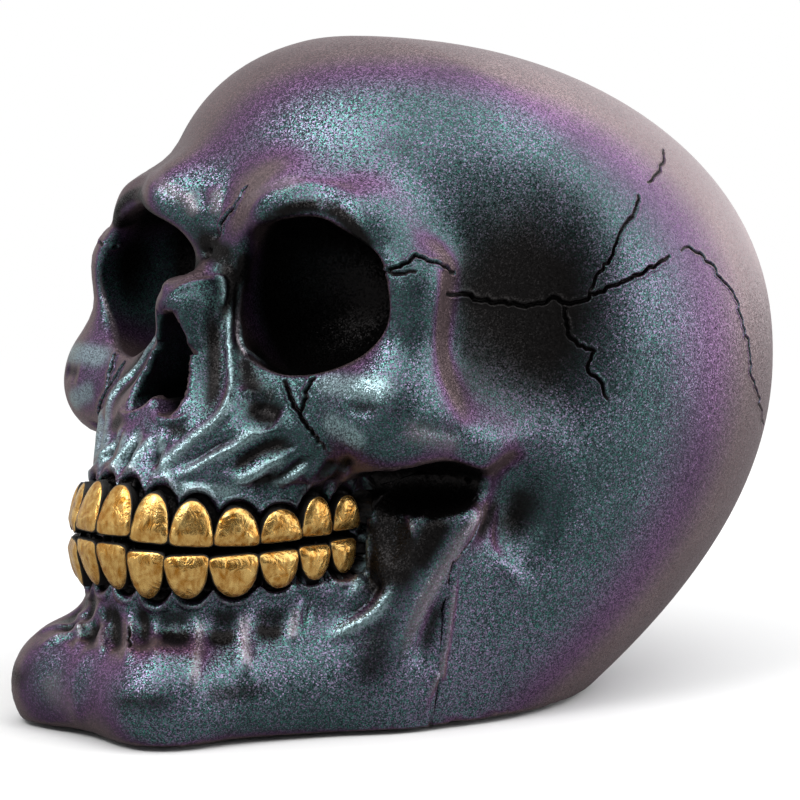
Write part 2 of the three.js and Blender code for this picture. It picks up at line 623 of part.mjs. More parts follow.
// The space of the lower jaw, in front of the rear edge of its branches and below the bite line.
function jawSpace(gap) {
  const top = [[FRONT_END, BITE_LEVEL + gap], ...BITE_ANGLES.map(onBite).map(([y, z]) => [y, z + gap])];
  const seamTop = CHEEK_HOLLOW_CENTRE[2] + CHEEK_HOLLOW_RADII[2] - SEAM_TOP_DROP + gap;
  const outline = [
    ...top,
    [-SEAM_SHOULDER_FRONT - gap, SEAM_SHOULDER_LEVEL],
    [-SEAM_TOP_FRONT - gap, seamTop],
    [-SEAM_TOP_BACK + gap, seamTop],
    [-JAW_BEND_FRONT + gap, JAW_BEND_LEVEL],
    [-JAW_FOOT_FRONT + gap, PAD_STAND],
    [-JAW_FOOT_FRONT + gap, -OVERRUN],
    [FRONT_END, -OVERRUN],
  ];
  const inner = RAMUS_INNER - gap;
  const mouth = block([-inner, -MOUTH_BACK + gap, -2 * OVERRUN], [inner, 0, CROWN_LEVEL]);
  return crosswise(outline.reverse(), CRANIUM_HALF_WIDTH).subtract(mouth);
}

// The closing plate: the footprint of the braincase less the rim.
const PLATE_CENTRE = CRANIUM_BACK_SET - BASE_LEAN;
const PLATE_HALF_WIDTH = CRANIUM_HALF_WIDTH * (1 - BASE_TAPER) - PLATE_RIM;
const PLATE_HALF_LENGTH = CRANIUM_HALF_LENGTH * (1 - BASE_TAPER) - PLATE_RIM;

// Plan outline of the closing plate, grown all round, with its straight front edge.
function plateOutline(grow) {
  const halfWidth = PLATE_HALF_WIDTH + grow;
  const halfLength = PLATE_HALF_LENGTH + grow;
  const front = Math.asin((-PLATE_FRONT - grow - PLATE_CENTRE) / halfLength);
  return Array.from({ length: PLATE_SIDES + 1 }, (_, i) => {
    const turn = front + ((Math.PI - 2 * front) * i) / PLATE_SIDES;
    return [halfWidth * Math.cos(turn), PLATE_CENTRE + halfLength * Math.sin(turn)];
  });
}

// A felt disc, grown all round for its pocket.
function padDisc(place, grow) {
  const radius = PAD_RADIUS + grow;
  const height = PAD_THICKNESS + 2 * grow;
  const geometry = new THREE.CylinderGeometry(radius, radius, height, PAD_SIDES);
  geometry.rotateX(Math.PI / 2);
  geometry.translate(place.x, place.y, PAD_THICKNESS / 2);
  return solid(geometry);
}

function buildSkull() {
  const sideReach = CRANIUM_HALF_WIDTH + OVERRUN;
  const rearEnd = CRANIUM_BACK_SET + CRANIUM_HALF_LENGTH + OVERRUN;
  const low = -OVERRUN;
  const footed = (x, y, z) => Math.max(skullForm(x, y, z), low + FACE_STEP - z);
  const hollowed = (x, y, z) => Math.max(
    skullForm(x, y, z) + WALL,
    ...ORBITS.map((orbit) => WALL - ellipsoid([x, y, z], orbit.centre, orbit.radii, orbit.yaw, orbit.roll)),
    -HOLLOW_FRONT - y,
    low + HOLLOW_STEP - z,
  );
  const whole = solid(surface(
    footed,
    mirrored(sideReach, FACE_STEP),
    graded(FRONT_END, rearEnd, FACE_STEP, -BROW_FRONT + FACE_DEPTH, REAR_STEP),
    graded(low, CROWN_LEVEL + OVERRUN, FACE_STEP, BROW_LEVEL, REAR_STEP),
  ));
  const hollow = solid(surface(
    hollowed,
    mirrored(sideReach, HOLLOW_STEP),
    graded(-HOLLOW_FRONT - OVERRUN, rearEnd, HOLLOW_STEP, rearEnd, HOLLOW_STEP),
    graded(low - OVERRUN, CROWN_LEVEL + OVERRUN, HOLLOW_STEP, CROWN_LEVEL, HOLLOW_STEP),
  ));
  const table = block([-sideReach, FRONT_END, -2 * OVERRUN], [sideReach, rearEnd, PAD_STAND]);
  const plateTop = PAD_STAND + PLATE_THICKNESS;
  const seat = upright(plateOutline(FIT_GAP), -OVERRUN, plateTop + FIT_GAP);
  let casting = whole.subtract(table).subtract(biteGroove()).subtract(noseCutter());
  for (const orbit of ORBITS) {
    casting = casting.subtract(orbitCutter(orbit, 0));
  }

  let skull = casting.subtract(jawSpace(FIT_GAP)).subtract(hollow).subtract(seat);
  let jaw = casting.intersect(jawSpace(0));
  let plate = upright(plateOutline(0), PAD_STAND, plateTop);

  const paint = new THREE.MeshStandardMaterial({ color: 0x35525c, metalness: 0.6, roughness: 0.4 });
  const leaf = new THREE.MeshStandardMaterial({ color: 0xc58a2a, metalness: 1, roughness: 0.35 });
  const resin = new THREE.MeshStandardMaterial({ color: 0x2a2a2d, metalness: 0, roughness: 0.7 });
  const felt = new THREE.MeshStandardMaterial({ color: 0x1b1b1d, metalness: 0, roughness: 1 });

  const group = new THREE.Group();
  group.name = "skull_ornament";
  for (const [rowName, row, upper] of [["upper", UPPER_ROW, true], ["lower", LOWER_ROW, false]]) {
    for (const [sideName, side] of [["left", 1], ["right", -1]]) {
      row.forEach((entry, i) => {
        const socket = tooth(entry, upper, side, FIT_GAP);
        skull = skull.subtract(socket);
        jaw = jaw.subtract(socket);
        group.add(node(`tooth_${rowName}_${sideName}_${i + 1}`, tooth(entry, upper, side, 0), leaf));
      });
    }
  }
  const frontPad = { x: CHIN_HALF_WIDTH - FRONT_PAD_INSET, y: FRONT_PAD_SETBACK - CHIN_FRONT };
  const rearPad = {
    x: PLATE_HALF_WIDTH - REAR_PAD_INSET,
    y: PLATE_CENTRE + PLATE_HALF_LENGTH - REAR_PAD_SETBACK,
  };
  const pads = [
    { name: "felt_pad_front_left", x: frontPad.x, y: frontPad.y },
    { name: "felt_pad_front_right", x: -frontPad.x, y: frontPad.y },
    { name: "felt_pad_rear_left", x: rearPad.x, y: rearPad.y },
    { name: "felt_pad_rear_right", x: -rearPad.x, y: rearPad.y },
  ];
  for (const pad of pads) {
    const pocket = padDisc(pad, FIT_GAP);
    jaw = jaw.subtract(pocket);
    plate = plate.subtract(pocket);
    group.add(node(pad.name, padDisc(pad, 0), felt));
  }
  group.add(node("skull_shell", skull, paint));
  group.add(node("lower_jaw", jaw, paint));
  group.add(node("base_plate", plate, resin));

  // The origin lies below the middle of the ornament, on the surface that it stands on.
  const middle = new THREE.Box3().setFromObject(group).getCenter(new THREE.Vector3());
  group.children.forEach((part) => part.geometry.translate(0, -middle.y, 0));
  return group;
}

export default buildSkull();
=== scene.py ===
"""Looks of a cast skull ornament: colour-shift flake paint, gold-leaf teeth and a felted underside.

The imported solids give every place. The two castings are fine copies of their solids, drawn onto one
smooth form and then carved with the folds, cracks and tooth recesses that the photograph shows.
"""
import logging
import math
from dataclasses import dataclass, field
from enum import Enum
from typing import Any

import bmesh
import bpy
import numpy as np
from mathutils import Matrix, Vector
from mathutils.bvhtree import BVHTree


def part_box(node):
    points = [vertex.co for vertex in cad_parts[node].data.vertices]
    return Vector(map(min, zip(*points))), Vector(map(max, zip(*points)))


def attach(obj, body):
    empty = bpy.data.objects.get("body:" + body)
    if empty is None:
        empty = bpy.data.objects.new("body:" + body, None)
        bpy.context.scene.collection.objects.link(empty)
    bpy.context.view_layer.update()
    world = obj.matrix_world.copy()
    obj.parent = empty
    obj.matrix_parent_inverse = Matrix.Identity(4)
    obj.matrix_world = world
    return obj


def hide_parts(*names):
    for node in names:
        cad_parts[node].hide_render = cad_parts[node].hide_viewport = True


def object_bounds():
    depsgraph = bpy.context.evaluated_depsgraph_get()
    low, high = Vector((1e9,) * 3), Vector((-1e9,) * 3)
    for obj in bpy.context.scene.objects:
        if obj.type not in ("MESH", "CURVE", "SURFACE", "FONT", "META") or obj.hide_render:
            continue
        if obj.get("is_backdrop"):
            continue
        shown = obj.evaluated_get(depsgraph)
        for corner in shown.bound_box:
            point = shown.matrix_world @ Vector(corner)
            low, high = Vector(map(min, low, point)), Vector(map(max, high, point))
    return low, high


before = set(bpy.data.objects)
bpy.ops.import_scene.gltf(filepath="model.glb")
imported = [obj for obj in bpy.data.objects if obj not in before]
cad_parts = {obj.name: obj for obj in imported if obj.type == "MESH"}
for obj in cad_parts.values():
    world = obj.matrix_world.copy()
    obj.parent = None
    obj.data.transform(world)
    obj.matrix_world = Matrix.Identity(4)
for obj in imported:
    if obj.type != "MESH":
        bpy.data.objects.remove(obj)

LOG = logging.getLogger("skull_ornament")
MM = 0.001
TINY = 1e-9
MERGE_DISTANCE = 1e-6
PAD_BEHIND_ORIGIN = 8.0
MIRROR = np.array((-1.0, 1.0, 1.0))
WHITE = (1.0, 1.0, 1.0, 1.0)
Pixel = tuple[float, float]


def smoothstep(low: float, high: float, value: np.ndarray) -> np.ndarray:
    """Returns 0 below low, 1 above high and a smooth ramp between."""
    share = np.clip((value - low) / (high - low), 0.0, 1.0)
    return share * share * (3.0 - 2.0 * share)


def bell(value: np.ndarray, middle: float, width: float) -> np.ndarray:
    """Returns 1 at the middle and next to nothing a few widths away."""
    return np.exp(-(((value - middle) / width) ** 2))


def diagonal(p: np.ndarray) -> np.ndarray:
    """How far points lie towards the left rear."""
    return (p[:, 0] + p[:, 1]) * math.sqrt(0.5)


def ellipsoid(p: np.ndarray, centre: tuple, radii: tuple, yaw: float = 0.0, roll: float = 0.0) -> np.ndarray:
    """Signed distance, close to the surface, to an ellipsoid rolled about Y and then turned about Z.

    Args:
        p: points, one in each row.
        centre: its middle.
        radii: its half sizes before it is turned.
        yaw: the turn in degrees.
        roll: the roll in degrees, which raises its outer end.

    Returns:
        One distance for each point, negative inside.
    """
    c, s = math.cos(math.radians(yaw)), math.sin(math.radians(yaw))
    dx, dy, dz = (p - centre).T
    across = dx * c + dy * s
    cr, sr = math.cos(math.radians(roll)), math.sin(math.radians(roll))
    q = np.stack([across * cr + dz * sr, dy * c - dx * s, dz * cr - across * sr], axis=1) / radii
    reach = np.linalg.norm(q, axis=1)
    slope = np.maximum(np.linalg.norm(q / radii, axis=1), TINY)
    return reach * (reach - 1.0) / slope


def limb(p: np.ndarray, a: tuple, b: tuple, radius_a: float, radius_b: float) -> np.ndarray:
    """Signed distance to a rounded bar from a to b whose radius changes along it."""
    start, along = np.asarray(a), np.subtract(b, a)
    t = np.clip((p - start) @ along / (along @ along), 0.0, 1.0)
    off = np.linalg.norm(p - start - t[:, None] * along, axis=1)
    return off - (radius_a + (radius_b - radius_a) * t)


def oval(x: np.ndarray, y: np.ndarray, half_width: np.ndarray, half_length: np.ndarray) -> np.ndarray:
    """Signed distance, close to the edge, to an ellipse in plan."""
    reach = np.hypot(x / half_width, y / half_length)
    slope = np.maximum(np.hypot(x / half_width**2, y / half_length**2), TINY)
    return reach * (reach - 1.0) / slope


def blend(a: np.ndarray, b: np.ndarray, size: Any) -> np.ndarray:
    """Joins two forms with a rounded transition of the given size."""
    h = np.maximum(size - np.abs(a - b), 0.0) / size
    return np.minimum(a, b) - h * h * size * 0.25


def carve(a: np.ndarray, b: np.ndarray, size: Any) -> np.ndarray:
    """Takes form b out of form a with a rounded edge of the given size."""
    return -blend(-a, b, size)


@dataclass(frozen=True)
class Braincase:
    """The rounded cranium as a stack of ovals, in millimetres."""

    half_width: float = 60.0
    half_length: float = 64.0
    back_set: float = 15.0
    widest_level: float = 62.0
    crown_level: float = 125.5
    crown_lean: float = 17.0
    base_lean: float = 30.0
    base_taper: float = 0.25
    crown_fullness: float = 2.35
    rear_drop: float = 0.11
    drop_start: float = -0.2
    base_power: float = 2.2
    least_slope: float = 0.5
    stand: float = 1.0

    def value(self, p: np.ndarray) -> np.ndarray:
        """Signed distance of points to the cranium, negative inside."""
        rise = p[:, 2] - self.widest_level
        above = rise > 0
        reach = np.where(above, self.crown_level - self.widest_level, self.widest_level - self.stand)
        t = np.abs(rise) / reach
        centre = self.back_set - np.where(above, self.crown_lean, self.base_lean) * t * t
        u = p[:, 0] / self.half_width
        v = (p[:, 1] - centre) / self.half_length
        ring = np.maximum(np.hypot(u, v), TINY)
        slope = np.hypot(u / self.half_width, v / self.half_length) / ring
        low = (ring - (1.0 - self.base_taper * t**self.base_power)) / slope
        n = self.crown_fullness
        height = t * (1.0 + self.rear_drop * np.clip(v, self.drop_start, 1.0))
        f = np.maximum((ring**n + height**n) ** (1.0 / n), TINY)
        across = (ring / f) ** (n - 1.0) * slope
        upward = (height / f) ** (n - 1.0) / reach
        high = (f - 1.0) / np.maximum(np.hypot(across, upward), self.least_slope / self.half_width)
        return np.where(above, high, low)


class Row(Enum):
    """A row of teeth."""

    UPPER = "upper"
    LOWER = "lower"


@dataclass(frozen=True)
class DentalArch:
    """The oval that the gums and teeth follow, in millimetres."""

    half_width: float = 27.5
    half_length: float = 44.0
    centre: float = -36.0
    bite_level: float = 37.0
    bite_sag: float = 2.3
    bite_gap: float = 1.4
    gum_height: float = 9.0
    upper_lean: float = 0.4
    lower_lean: float = 0.3
    root_cover: float = 0.9
    tooth_taper: float = 0.24
    taper_limit: float = 1.2
    tooth_roundness: float = 2.5
    gum_draw: float = 0.0195
    gum_rise: float = 17.0
    trough_width: float = 10.0
    trough_end: float = -7.5
    upper_angles: tuple = (7.7, 22.1, 35.4, 48.3, 60.3, 70.3, 78.6)
    upper_spreads: tuple = (15.4, 13.4, 13.2, 12.6, 11.4, 8.6, 8.0)
    upper_heights: tuple = (8.3, 8.2, 7.6, 6.3, 5.3, 6.6, 5.8)
    lower_angles: tuple = (6.9, 20.4, 33.8, 47.5, 59.8, 69.6, 77.8)
    lower_spreads: tuple = (13.8, 13.2, 13.6, 13.8, 10.8, 8.8, 7.6)
    lower_heights: tuple = (8.0, 8.2, 7.4, 7.0, 6.1, 5.7, 5.5)

    def row(self, row: Row) -> tuple[float, tuple, tuple, tuple]:
        """Direction to the roots of a row, and the angles, spreads and heights of its teeth."""
        if row is Row.UPPER:
            return 1.0, self.upper_angles, self.upper_spreads, self.upper_heights
        return -1.0, self.lower_angles, self.lower_spreads, self.lower_heights

    def place(self, angle: float) -> tuple[np.ndarray, np.ndarray]:
        """Point of the gum wall at an angle round the arch, and the direction out of it, both in plan."""
        s, c = math.sin(math.radians(angle)), math.cos(math.radians(angle))
        outward = np.array((s / self.half_width, -c / self.half_length))
        point = np.array((self.half_width * s, self.centre - self.half_length * c))
        return point, outward / np.linalg.norm(outward)

    def angle(self, p: np.ndarray) -> np.ndarray:
        """Angle of points round the arch from its front, in degrees, for one half of the face."""
        return np.degrees(np.arctan2(p[:, 0] / self.half_width, (self.centre - p[:, 1]) / self.half_length))

    def bite(self, angle: np.ndarray) -> np.ndarray:
        """Height of the bite line at angles round the arch."""
        return self.bite_level - self.bite_sag * np.sin(np.radians(2.0 * angle))

    def setback(self, p: np.ndarray) -> np.ndarray:
        """How far the front of the gums lies behind the bite line at points."""
        rise = p[:, 2] - self.bite(np.clip(self.angle(p), 0.0, 90.0))
        lean = np.where(rise > 0.0, self.upper_lean, self.lower_lean)
        return lean * np.minimum(np.abs(rise), self.gum_height)

    def outside(self, p: np.ndarray) -> np.ndarray:
        """Distance of points outside the gum wall, negative within it."""
        return oval(p[:, 0], p[:, 1] - self.centre, self.half_width, self.half_length - self.setback(p))

    def wall(self, p: np.ndarray) -> np.ndarray:
        """Signed distance to the gums, which draw in above the tooth roots."""
        top = self.bite_level + self.gum_height
        draw = 1.0 - self.gum_draw * np.maximum(0.0, p[:, 2] - top)
        length = self.half_length * draw - self.setback(p)
        side = oval(p[:, 0], p[:, 1] - self.centre, self.half_width * draw, length)
        return np.maximum(side, p[:, 2] - top - self.gum_rise)

    def trough(self, p: np.ndarray) -> np.ndarray:
        """Signed distance to the space kept free outside the tooth rows."""
        arch = self.outside(p)
        behind = diagonal(p) - self.trough_end
        beside = np.maximum(np.maximum(-arch, arch - self.trough_width), behind)
        return np.maximum(beside, np.abs(p[:, 2] - self.bite_level) - self.gum_height)

    def tooth_edges(self, p: np.ndarray) -> np.ndarray:
        """Distance of points on the gum to the nearest tooth outline, negative behind a tooth."""
        angle = self.angle(p)
        nearest = np.full(len(p), np.inf)
        turn = np.radians(angle)
        step = np.hypot(self.half_width * np.cos(turn), self.half_length * np.sin(turn)) * math.radians(1.0)
        for row in Row:
            way, angles, spreads, heights = self.row(row)
            for middle, spread, height in zip(angles, spreads, heights):
                up = (p[:, 2] - self.bite(angle)) * way - self.bite_gap / 2.0
                half = spread * step / 2.0
                tall = (height + self.root_cover) / 2.0
                narrow = half * (1.0 - self.tooth_taper * np.clip(up / tall - 1.0, -1.0, self.taper_limit))
                u = np.abs(angle - middle) * step / narrow
                v = np.abs(up / tall - 1.0)
                reach = (u**self.tooth_roundness + v**self.tooth_roundness) ** (1.0 / self.tooth_roundness)
                nearest = np.minimum(nearest, (reach - 1.0) * np.minimum(narrow, tall))
        return nearest


@dataclass(frozen=True)
class SkullForm:
    """The whole ornament as one smooth form without its teeth, in millimetres.

    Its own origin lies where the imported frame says, and its two halves mirror each other.
    """

    origin_y: float
    cranium: Braincase = Braincase()
    arch: DentalArch = DentalArch()
    brow_inner: tuple = (15.3, -46.0, 93.5)
    brow_outer: tuple = (29.3, -41.0, 91.5)
    brow_radius: float = 6.5
    glabella: tuple = (0.0, -41.5, 89.0)
    glabella_radius: float = 5.5
    orbit_radii: tuple = (17.5, 20.0, 15.4)
    orbit_centre: tuple = (22.3, -43.5, 79.2)
    orbit_yaw: float = 12.0
    orbit_roll: float = 2.0
    orbit_point: float = 0.2
    orbit_lid: tuple = (80.0, 92.0)
    orbit_edge: tuple = (1.4, 4.0)
    pillar_top: tuple = (39.5, -38.5, 81.5)
    pillar_foot: tuple = (39.5, -40.5, 66.0)
    pillar_radius: float = 6.0
    cheekbone: tuple = (35.5, -43.0, 59.0)
    cheekbone_radii: tuple = (10.0, 10.0, 9.0)
    cheek_arch_start: tuple = (39.5, -42.5, 57.0)
    cheek_arch_end: tuple = (47.0, -17.0, 55.0)
    cheek_arch_radii: tuple = (7.0, 5.0)
    nose_tip: tuple = (0.0, -58.0, 76.5)
    nose_tip_radius: float = 5.5
    nose_root: tuple = (0.0, -44.5, 83.0)
    nose_root_radius: float = 4.5
    nose_foot: tuple = (0.0, -57.0, 60.0)
    nose_foot_radius: float = 8.0
    nose_peak: float = 76.5
    nose_base: float = 58.0
    nose_half_width: float = 6.6
    nose_depth: float = 12.0
    nose_edge: float = 1.2
    septum: float = 1.5
    nose_outline: tuple = (
        (0.0, 1.0), (0.3, 0.96), (0.55, 0.76), (0.8, 0.5), (0.97, 0.24),
        (0.98, 0.1), (0.82, 0.0), (0.5, 0.0), (0.2, 0.1), (0.0, 0.17),
    )
    maxilla_centre: tuple = (0.0, -45.0, 54.0)
    maxilla_radii: tuple = (30.0, 22.0, 14.0)
    under_eye: tuple = (6.0, -51.0, 69.0)
    under_eye_radius: float = 6.5
    side_yaw: float = -45.0
    temple_centre: tuple = (58.7, -26.2, 76.5)
    temple_radii: tuple = (14.0, 17.5, 25.0)
    temple_fade_back: tuple = (12.0, 30.0)
    temple_fade_up: tuple = (88.0, 104.0)
    cheek_hollow_centre: tuple = (40.3, -37.5, 45.5)
    cheek_hollow_radii: tuple = (9.0, 11.5, 5.0)
    ear_centre: tuple = (51.3, -23.0, 41.0)
    ear_radii: tuple = (7.0, 6.0, 9.0)
    chin: tuple = (0.0, -77.0, 8.0)
    chin_end: tuple = (13.0, -76.0, 7.0)
    chin_radius: float = 10.0
    jaw_corner: tuple = (29.0, -38.0, 9.0)
    jaw_corner_radius: float = 11.0
    ramus_top: tuple = (44.0, -27.0, 51.0)
    ramus_radius: float = 6.0
    soft: float = 10.0
    firm: float = 6.0
    rim: float = 3.0
    # Painted shade in the temple and below the cheek.
    shadow_middle: tuple = (23.0, 78.0)
    shadow_spread: tuple = (26.0, 17.0, 24.0)
    shadow_start: tuple = (5.0, 10.0)
    temple_shade: float = 0.9
    cheek_shade: float = 0.95
    cheek_fade: tuple = (0.2, 2.0)
    probe: float = 0.06
    least_steep: float = 0.1
    settle_rounds: int = 3
    settle_fade: float = 0.75

    def fold_in(self, points: np.ndarray) -> np.ndarray:
        """Moves frame points in millimetres to the form's own origin, on its left half."""
        own = points - (0.0, self.origin_y, 0.0)
        own[:, 0] = np.abs(own[:, 0])
        return own

    def brow(self, p: np.ndarray) -> np.ndarray:
        """Brow ridge and outer pillar of the eye socket."""
        r, thin = self.brow_radius, self.pillar_radius
        ridge = limb(p, self.glabella, self.brow_inner, self.glabella_radius, r)
        ridge = blend(ridge, limb(p, self.brow_inner, self.brow_outer, r, thin), self.firm)
        return blend(ridge, limb(p, self.brow_outer, self.pillar_top, thin, thin), self.firm)

    def cheek(self, d: np.ndarray, p: np.ndarray) -> np.ndarray:
        """Joins the outer pillar, the cheekbone and its arch to form d."""
        r = self.pillar_radius
        d = blend(d, limb(p, self.pillar_top, self.pillar_foot, r, r), self.firm)
        d = blend(d, ellipsoid(p, self.cheekbone, self.cheekbone_radii), self.soft)
        arch = limb(p, self.cheek_arch_start, self.cheek_arch_end, *self.cheek_arch_radii)
        return blend(d, arch, self.soft)

    def jaw(self, p: np.ndarray) -> np.ndarray:
        """Lower jaw: chin bar, body and the branch that rises to the cheek arch."""
        bar = limb(p, self.chin, self.chin_end, self.chin_radius, self.chin_radius)
        body = limb(p, self.chin_end, self.jaw_corner, self.chin_radius, self.jaw_corner_radius)
        branch = limb(p, self.jaw_corner, self.ramus_top, self.jaw_corner_radius, self.ramus_radius)
        return blend(blend(bar, body, self.firm), branch, self.firm)

    def orbit(self, p: np.ndarray) -> np.ndarray:
        """Signed distance to the eye socket, an egg whose pointed end is the outer one."""
        share = np.clip((p[:, 0] - self.orbit_centre[0]) / self.orbit_radii[0], -1.0, 1.0)
        egg = p.copy()
        egg[:, 2] = self.orbit_centre[2] + (p[:, 2] - self.orbit_centre[2]) / (1.0 - self.orbit_point * share)
        return ellipsoid(egg, self.orbit_centre, self.orbit_radii, self.orbit_yaw, self.orbit_roll)

    def nose(self, p: np.ndarray) -> np.ndarray:
        """Signed distance to the pear-shaped nasal opening."""
        height = self.nose_peak - self.nose_base
        right = [(a * self.nose_half_width, self.nose_base + up * height) for a, up in self.nose_outline]
        corners = np.array(right + [(-x, z) for x, z in right[-2:0:-1]])
        xz = p[:, (0, 2)]
        gap = np.full(len(p), np.inf)
        inside = np.zeros(len(p), bool)
        for a, b in zip(corners, np.roll(corners, -1, axis=0)):
            along = b - a
            t = np.clip((xz - a) @ along / (along @ along), 0.0, 1.0)
            gap = np.minimum(gap, np.linalg.norm(xz - a - t[:, None] * along, axis=1))
            crosses = (a[1] > xz[:, 1]) != (b[1] > xz[:, 1])
            where = a[0] + (xz[:, 1] - a[1]) * along[0] / (along[1] or TINY)
            inside ^= crosses & (xz[:, 0] < where)
        back = self.nose_depth + self.nose_tip[1] - self.nose_tip_radius
        return np.maximum(np.where(inside, -gap, gap), p[:, 1] - back)

    def value(self, points: np.ndarray) -> np.ndarray:
        """Signed distance of frame points in millimetres to the form.

        Args:
            points: one point in each row.

        Returns:
            One distance for each point, negative inside.
        """
        p = self.fold_in(points)
        orbit = self.orbit(p)
        sharp, round_edge = self.orbit_edge
        overhang = sharp + (round_edge - sharp) * smoothstep(*self.orbit_lid, p[:, 2])
        nose = np.maximum(self.nose(p), self.septum - orbit)
        return carve(carve(self.skin(p), orbit, overhang), nose, self.nose_edge)

    def skin(self, p: np.ndarray) -> np.ndarray:
        """Signed distance of the form's own points to it before the eye sockets and the nose are cut."""
        d = self.cheek(blend(self.cranium.value(p), self.brow(p), self.soft), p)
        behind = smoothstep(*self.temple_fade_back, diagonal(p))
        above = smoothstep(*self.temple_fade_up, p[:, 2])
        temple = ellipsoid(p, self.temple_centre, self.temple_radii, self.side_yaw)
        d = carve(d, temple, self.rim + self.soft * (1.0 - (1.0 - behind) * (1.0 - above)))
        d = blend(d, ellipsoid(p, self.maxilla_centre, self.maxilla_radii), self.soft)
        r = self.under_eye_radius
        d = blend(d, limb(p, self.under_eye, self.cheekbone, r, r), self.firm)
        bridge = limb(p, self.nose_root, self.nose_tip, self.nose_root_radius, self.nose_tip_radius)
        side = limb(p, self.nose_tip, self.nose_foot, self.nose_tip_radius, self.nose_foot_radius)
        d = blend(d, blend(bridge, side, self.rim), self.firm)
        d = blend(d, self.arch.wall(p), self.soft)
        d = blend(d, self.jaw(p), self.firm)
        hollow = ellipsoid(p, self.cheek_hollow_centre, self.cheek_hollow_radii, self.side_yaw)
        d = carve(d, hollow, self.rim)
        d = carve(d, ellipsoid(p, self.ear_centre, self.ear_radii, self.side_yaw), self.firm)
        return carve(d, self.arch.trough(p), self.rim)

    def painted_hollow_shade(self, p: np.ndarray) -> np.ndarray:
        """Painted shade at the form's own points in the temple and below the cheek, from 0 to 1."""
        along = diagonal(p)
        middle, level = self.shadow_middle
        ahead, behind, tall = self.shadow_spread
        spot = bell(along, middle, np.where(along < middle, ahead, behind)) * bell(p[:, 2], level, tall)
        temple = self.temple_shade * spot * smoothstep(*self.shadow_start, along)
        cheek = ellipsoid(p, self.cheek_hollow_centre, self.cheek_hollow_radii, self.side_yaw)
        return np.maximum(temple, self.cheek_shade * (1.0 - smoothstep(*self.cheek_fade, cheek)))

    def slope(self, points: np.ndarray) -> np.ndarray:
        """Direction in which the distance grows, at frame points in millimetres."""
        corners = np.array([(1, -1, -1), (-1, -1, 1), (-1, 1, -1), (1, 1, 1)], float)
        total = sum(self.value(points + c * self.probe)[:, None] * c for c in corners)
        return total / (len(corners) * self.probe)

    def settle(self, points: np.ndarray, reach: float) -> np.ndarray:
        """Draws points onto the surface, and leaves those that lie deeper than the reach.

        Args:
            points: frame points in millimetres.
            reach: depth from which on a point stays where it is. Outside the form it is twice as far.

        Returns:
            The moved points.
        """
        start = self.value(points)
        away = np.where(start > 0.0, start / 2.0, -start)
        moved = points.copy()
        active = away < reach
        p = points[active]
        for _ in range(self.settle_rounds):
            d, g = self.value(p), self.slope(p)
            steep = np.maximum((g * g).sum(axis=1), self.least_steep)
            p = p - (d / steep)[:, None] * g
        step = p - points[active]
        length = np.linalg.norm(step, axis=1)
        keep = 1.0 - smoothstep(self.settle_fade * reach, reach, away[active])
        keep *= np.minimum(1.0, 2.0 * reach / np.maximum(length, TINY))
        moved[active] = points[active] + step * keep[:, None]
        return moved


@dataclass(frozen=True)
class PhotoView:
    """The photograph's camera, in metres and pixels, and the rays through its pixels."""

    azimuth: float = 45.0
    elevation: float = 7.0
    distance: float = 0.7
    focal: float = 3549.0
    picture: int = 800
    sensor: float = 36.0
    clip: tuple = (0.01, 50.0)
    target: Vector = field(default_factory=lambda: Vector((-0.0014, 0.0028, 0.0546)))

    def axes(self) -> tuple[Vector, Vector, Vector]:
        """Right, up and back directions of the camera."""
        a, e = math.radians(self.azimuth), math.radians(self.elevation)
        right = Vector((math.cos(a), math.sin(a), 0.0))
        back = Vector((math.sin(a) * math.cos(e), -math.cos(a) * math.cos(e), math.sin(e)))
        return right, back.cross(right), back

    def ray(self, pixel: Pixel) -> tuple[Vector, Vector]:
        """Start and direction of the ray through a pixel."""
        right, up, back = self.axes()
        half = self.picture / 2.0
        across, rise = (pixel[0] - half) / self.focal, (half - pixel[1]) / self.focal
        return self.target + back * self.distance, (right * across + up * rise - back).normalized()

    def place_camera(self) -> bpy.types.Object:
        """Makes the scene's camera and returns it."""
        data = bpy.data.cameras.new("photo_camera")
        data.sensor_width = self.sensor
        data.lens = self.focal / self.picture * self.sensor
        data.clip_start, data.clip_end = self.clip
        camera = bpy.data.objects.new("photo_camera", data)
        back = self.axes()[2]
        camera.location = self.target + back * self.distance
        camera.rotation_euler = (-back).to_track_quat("-Z", "Y").to_euler()
        bpy.context.scene.collection.objects.link(camera)
        bpy.context.scene.camera = camera
        return camera


class StrokeKind(Enum):
    """How a stroke shapes the surface."""

    FOLD = "fold"
    # Ridges lightened as rubbed wear, and broad strokes that are painted highlights and a painted reflection.
    RUBBED_AND_HIGHLIGHT = "rubbed ridge"
    # Ridges lit with a painted highlight in pale mint.
    PAINTED_HIGHLIGHT = "bright brushed ridge"
    CRACK = "crack"
    # Painted shade: darkness only, with no relief.
    PAINTED_SHADE = "dark wash"


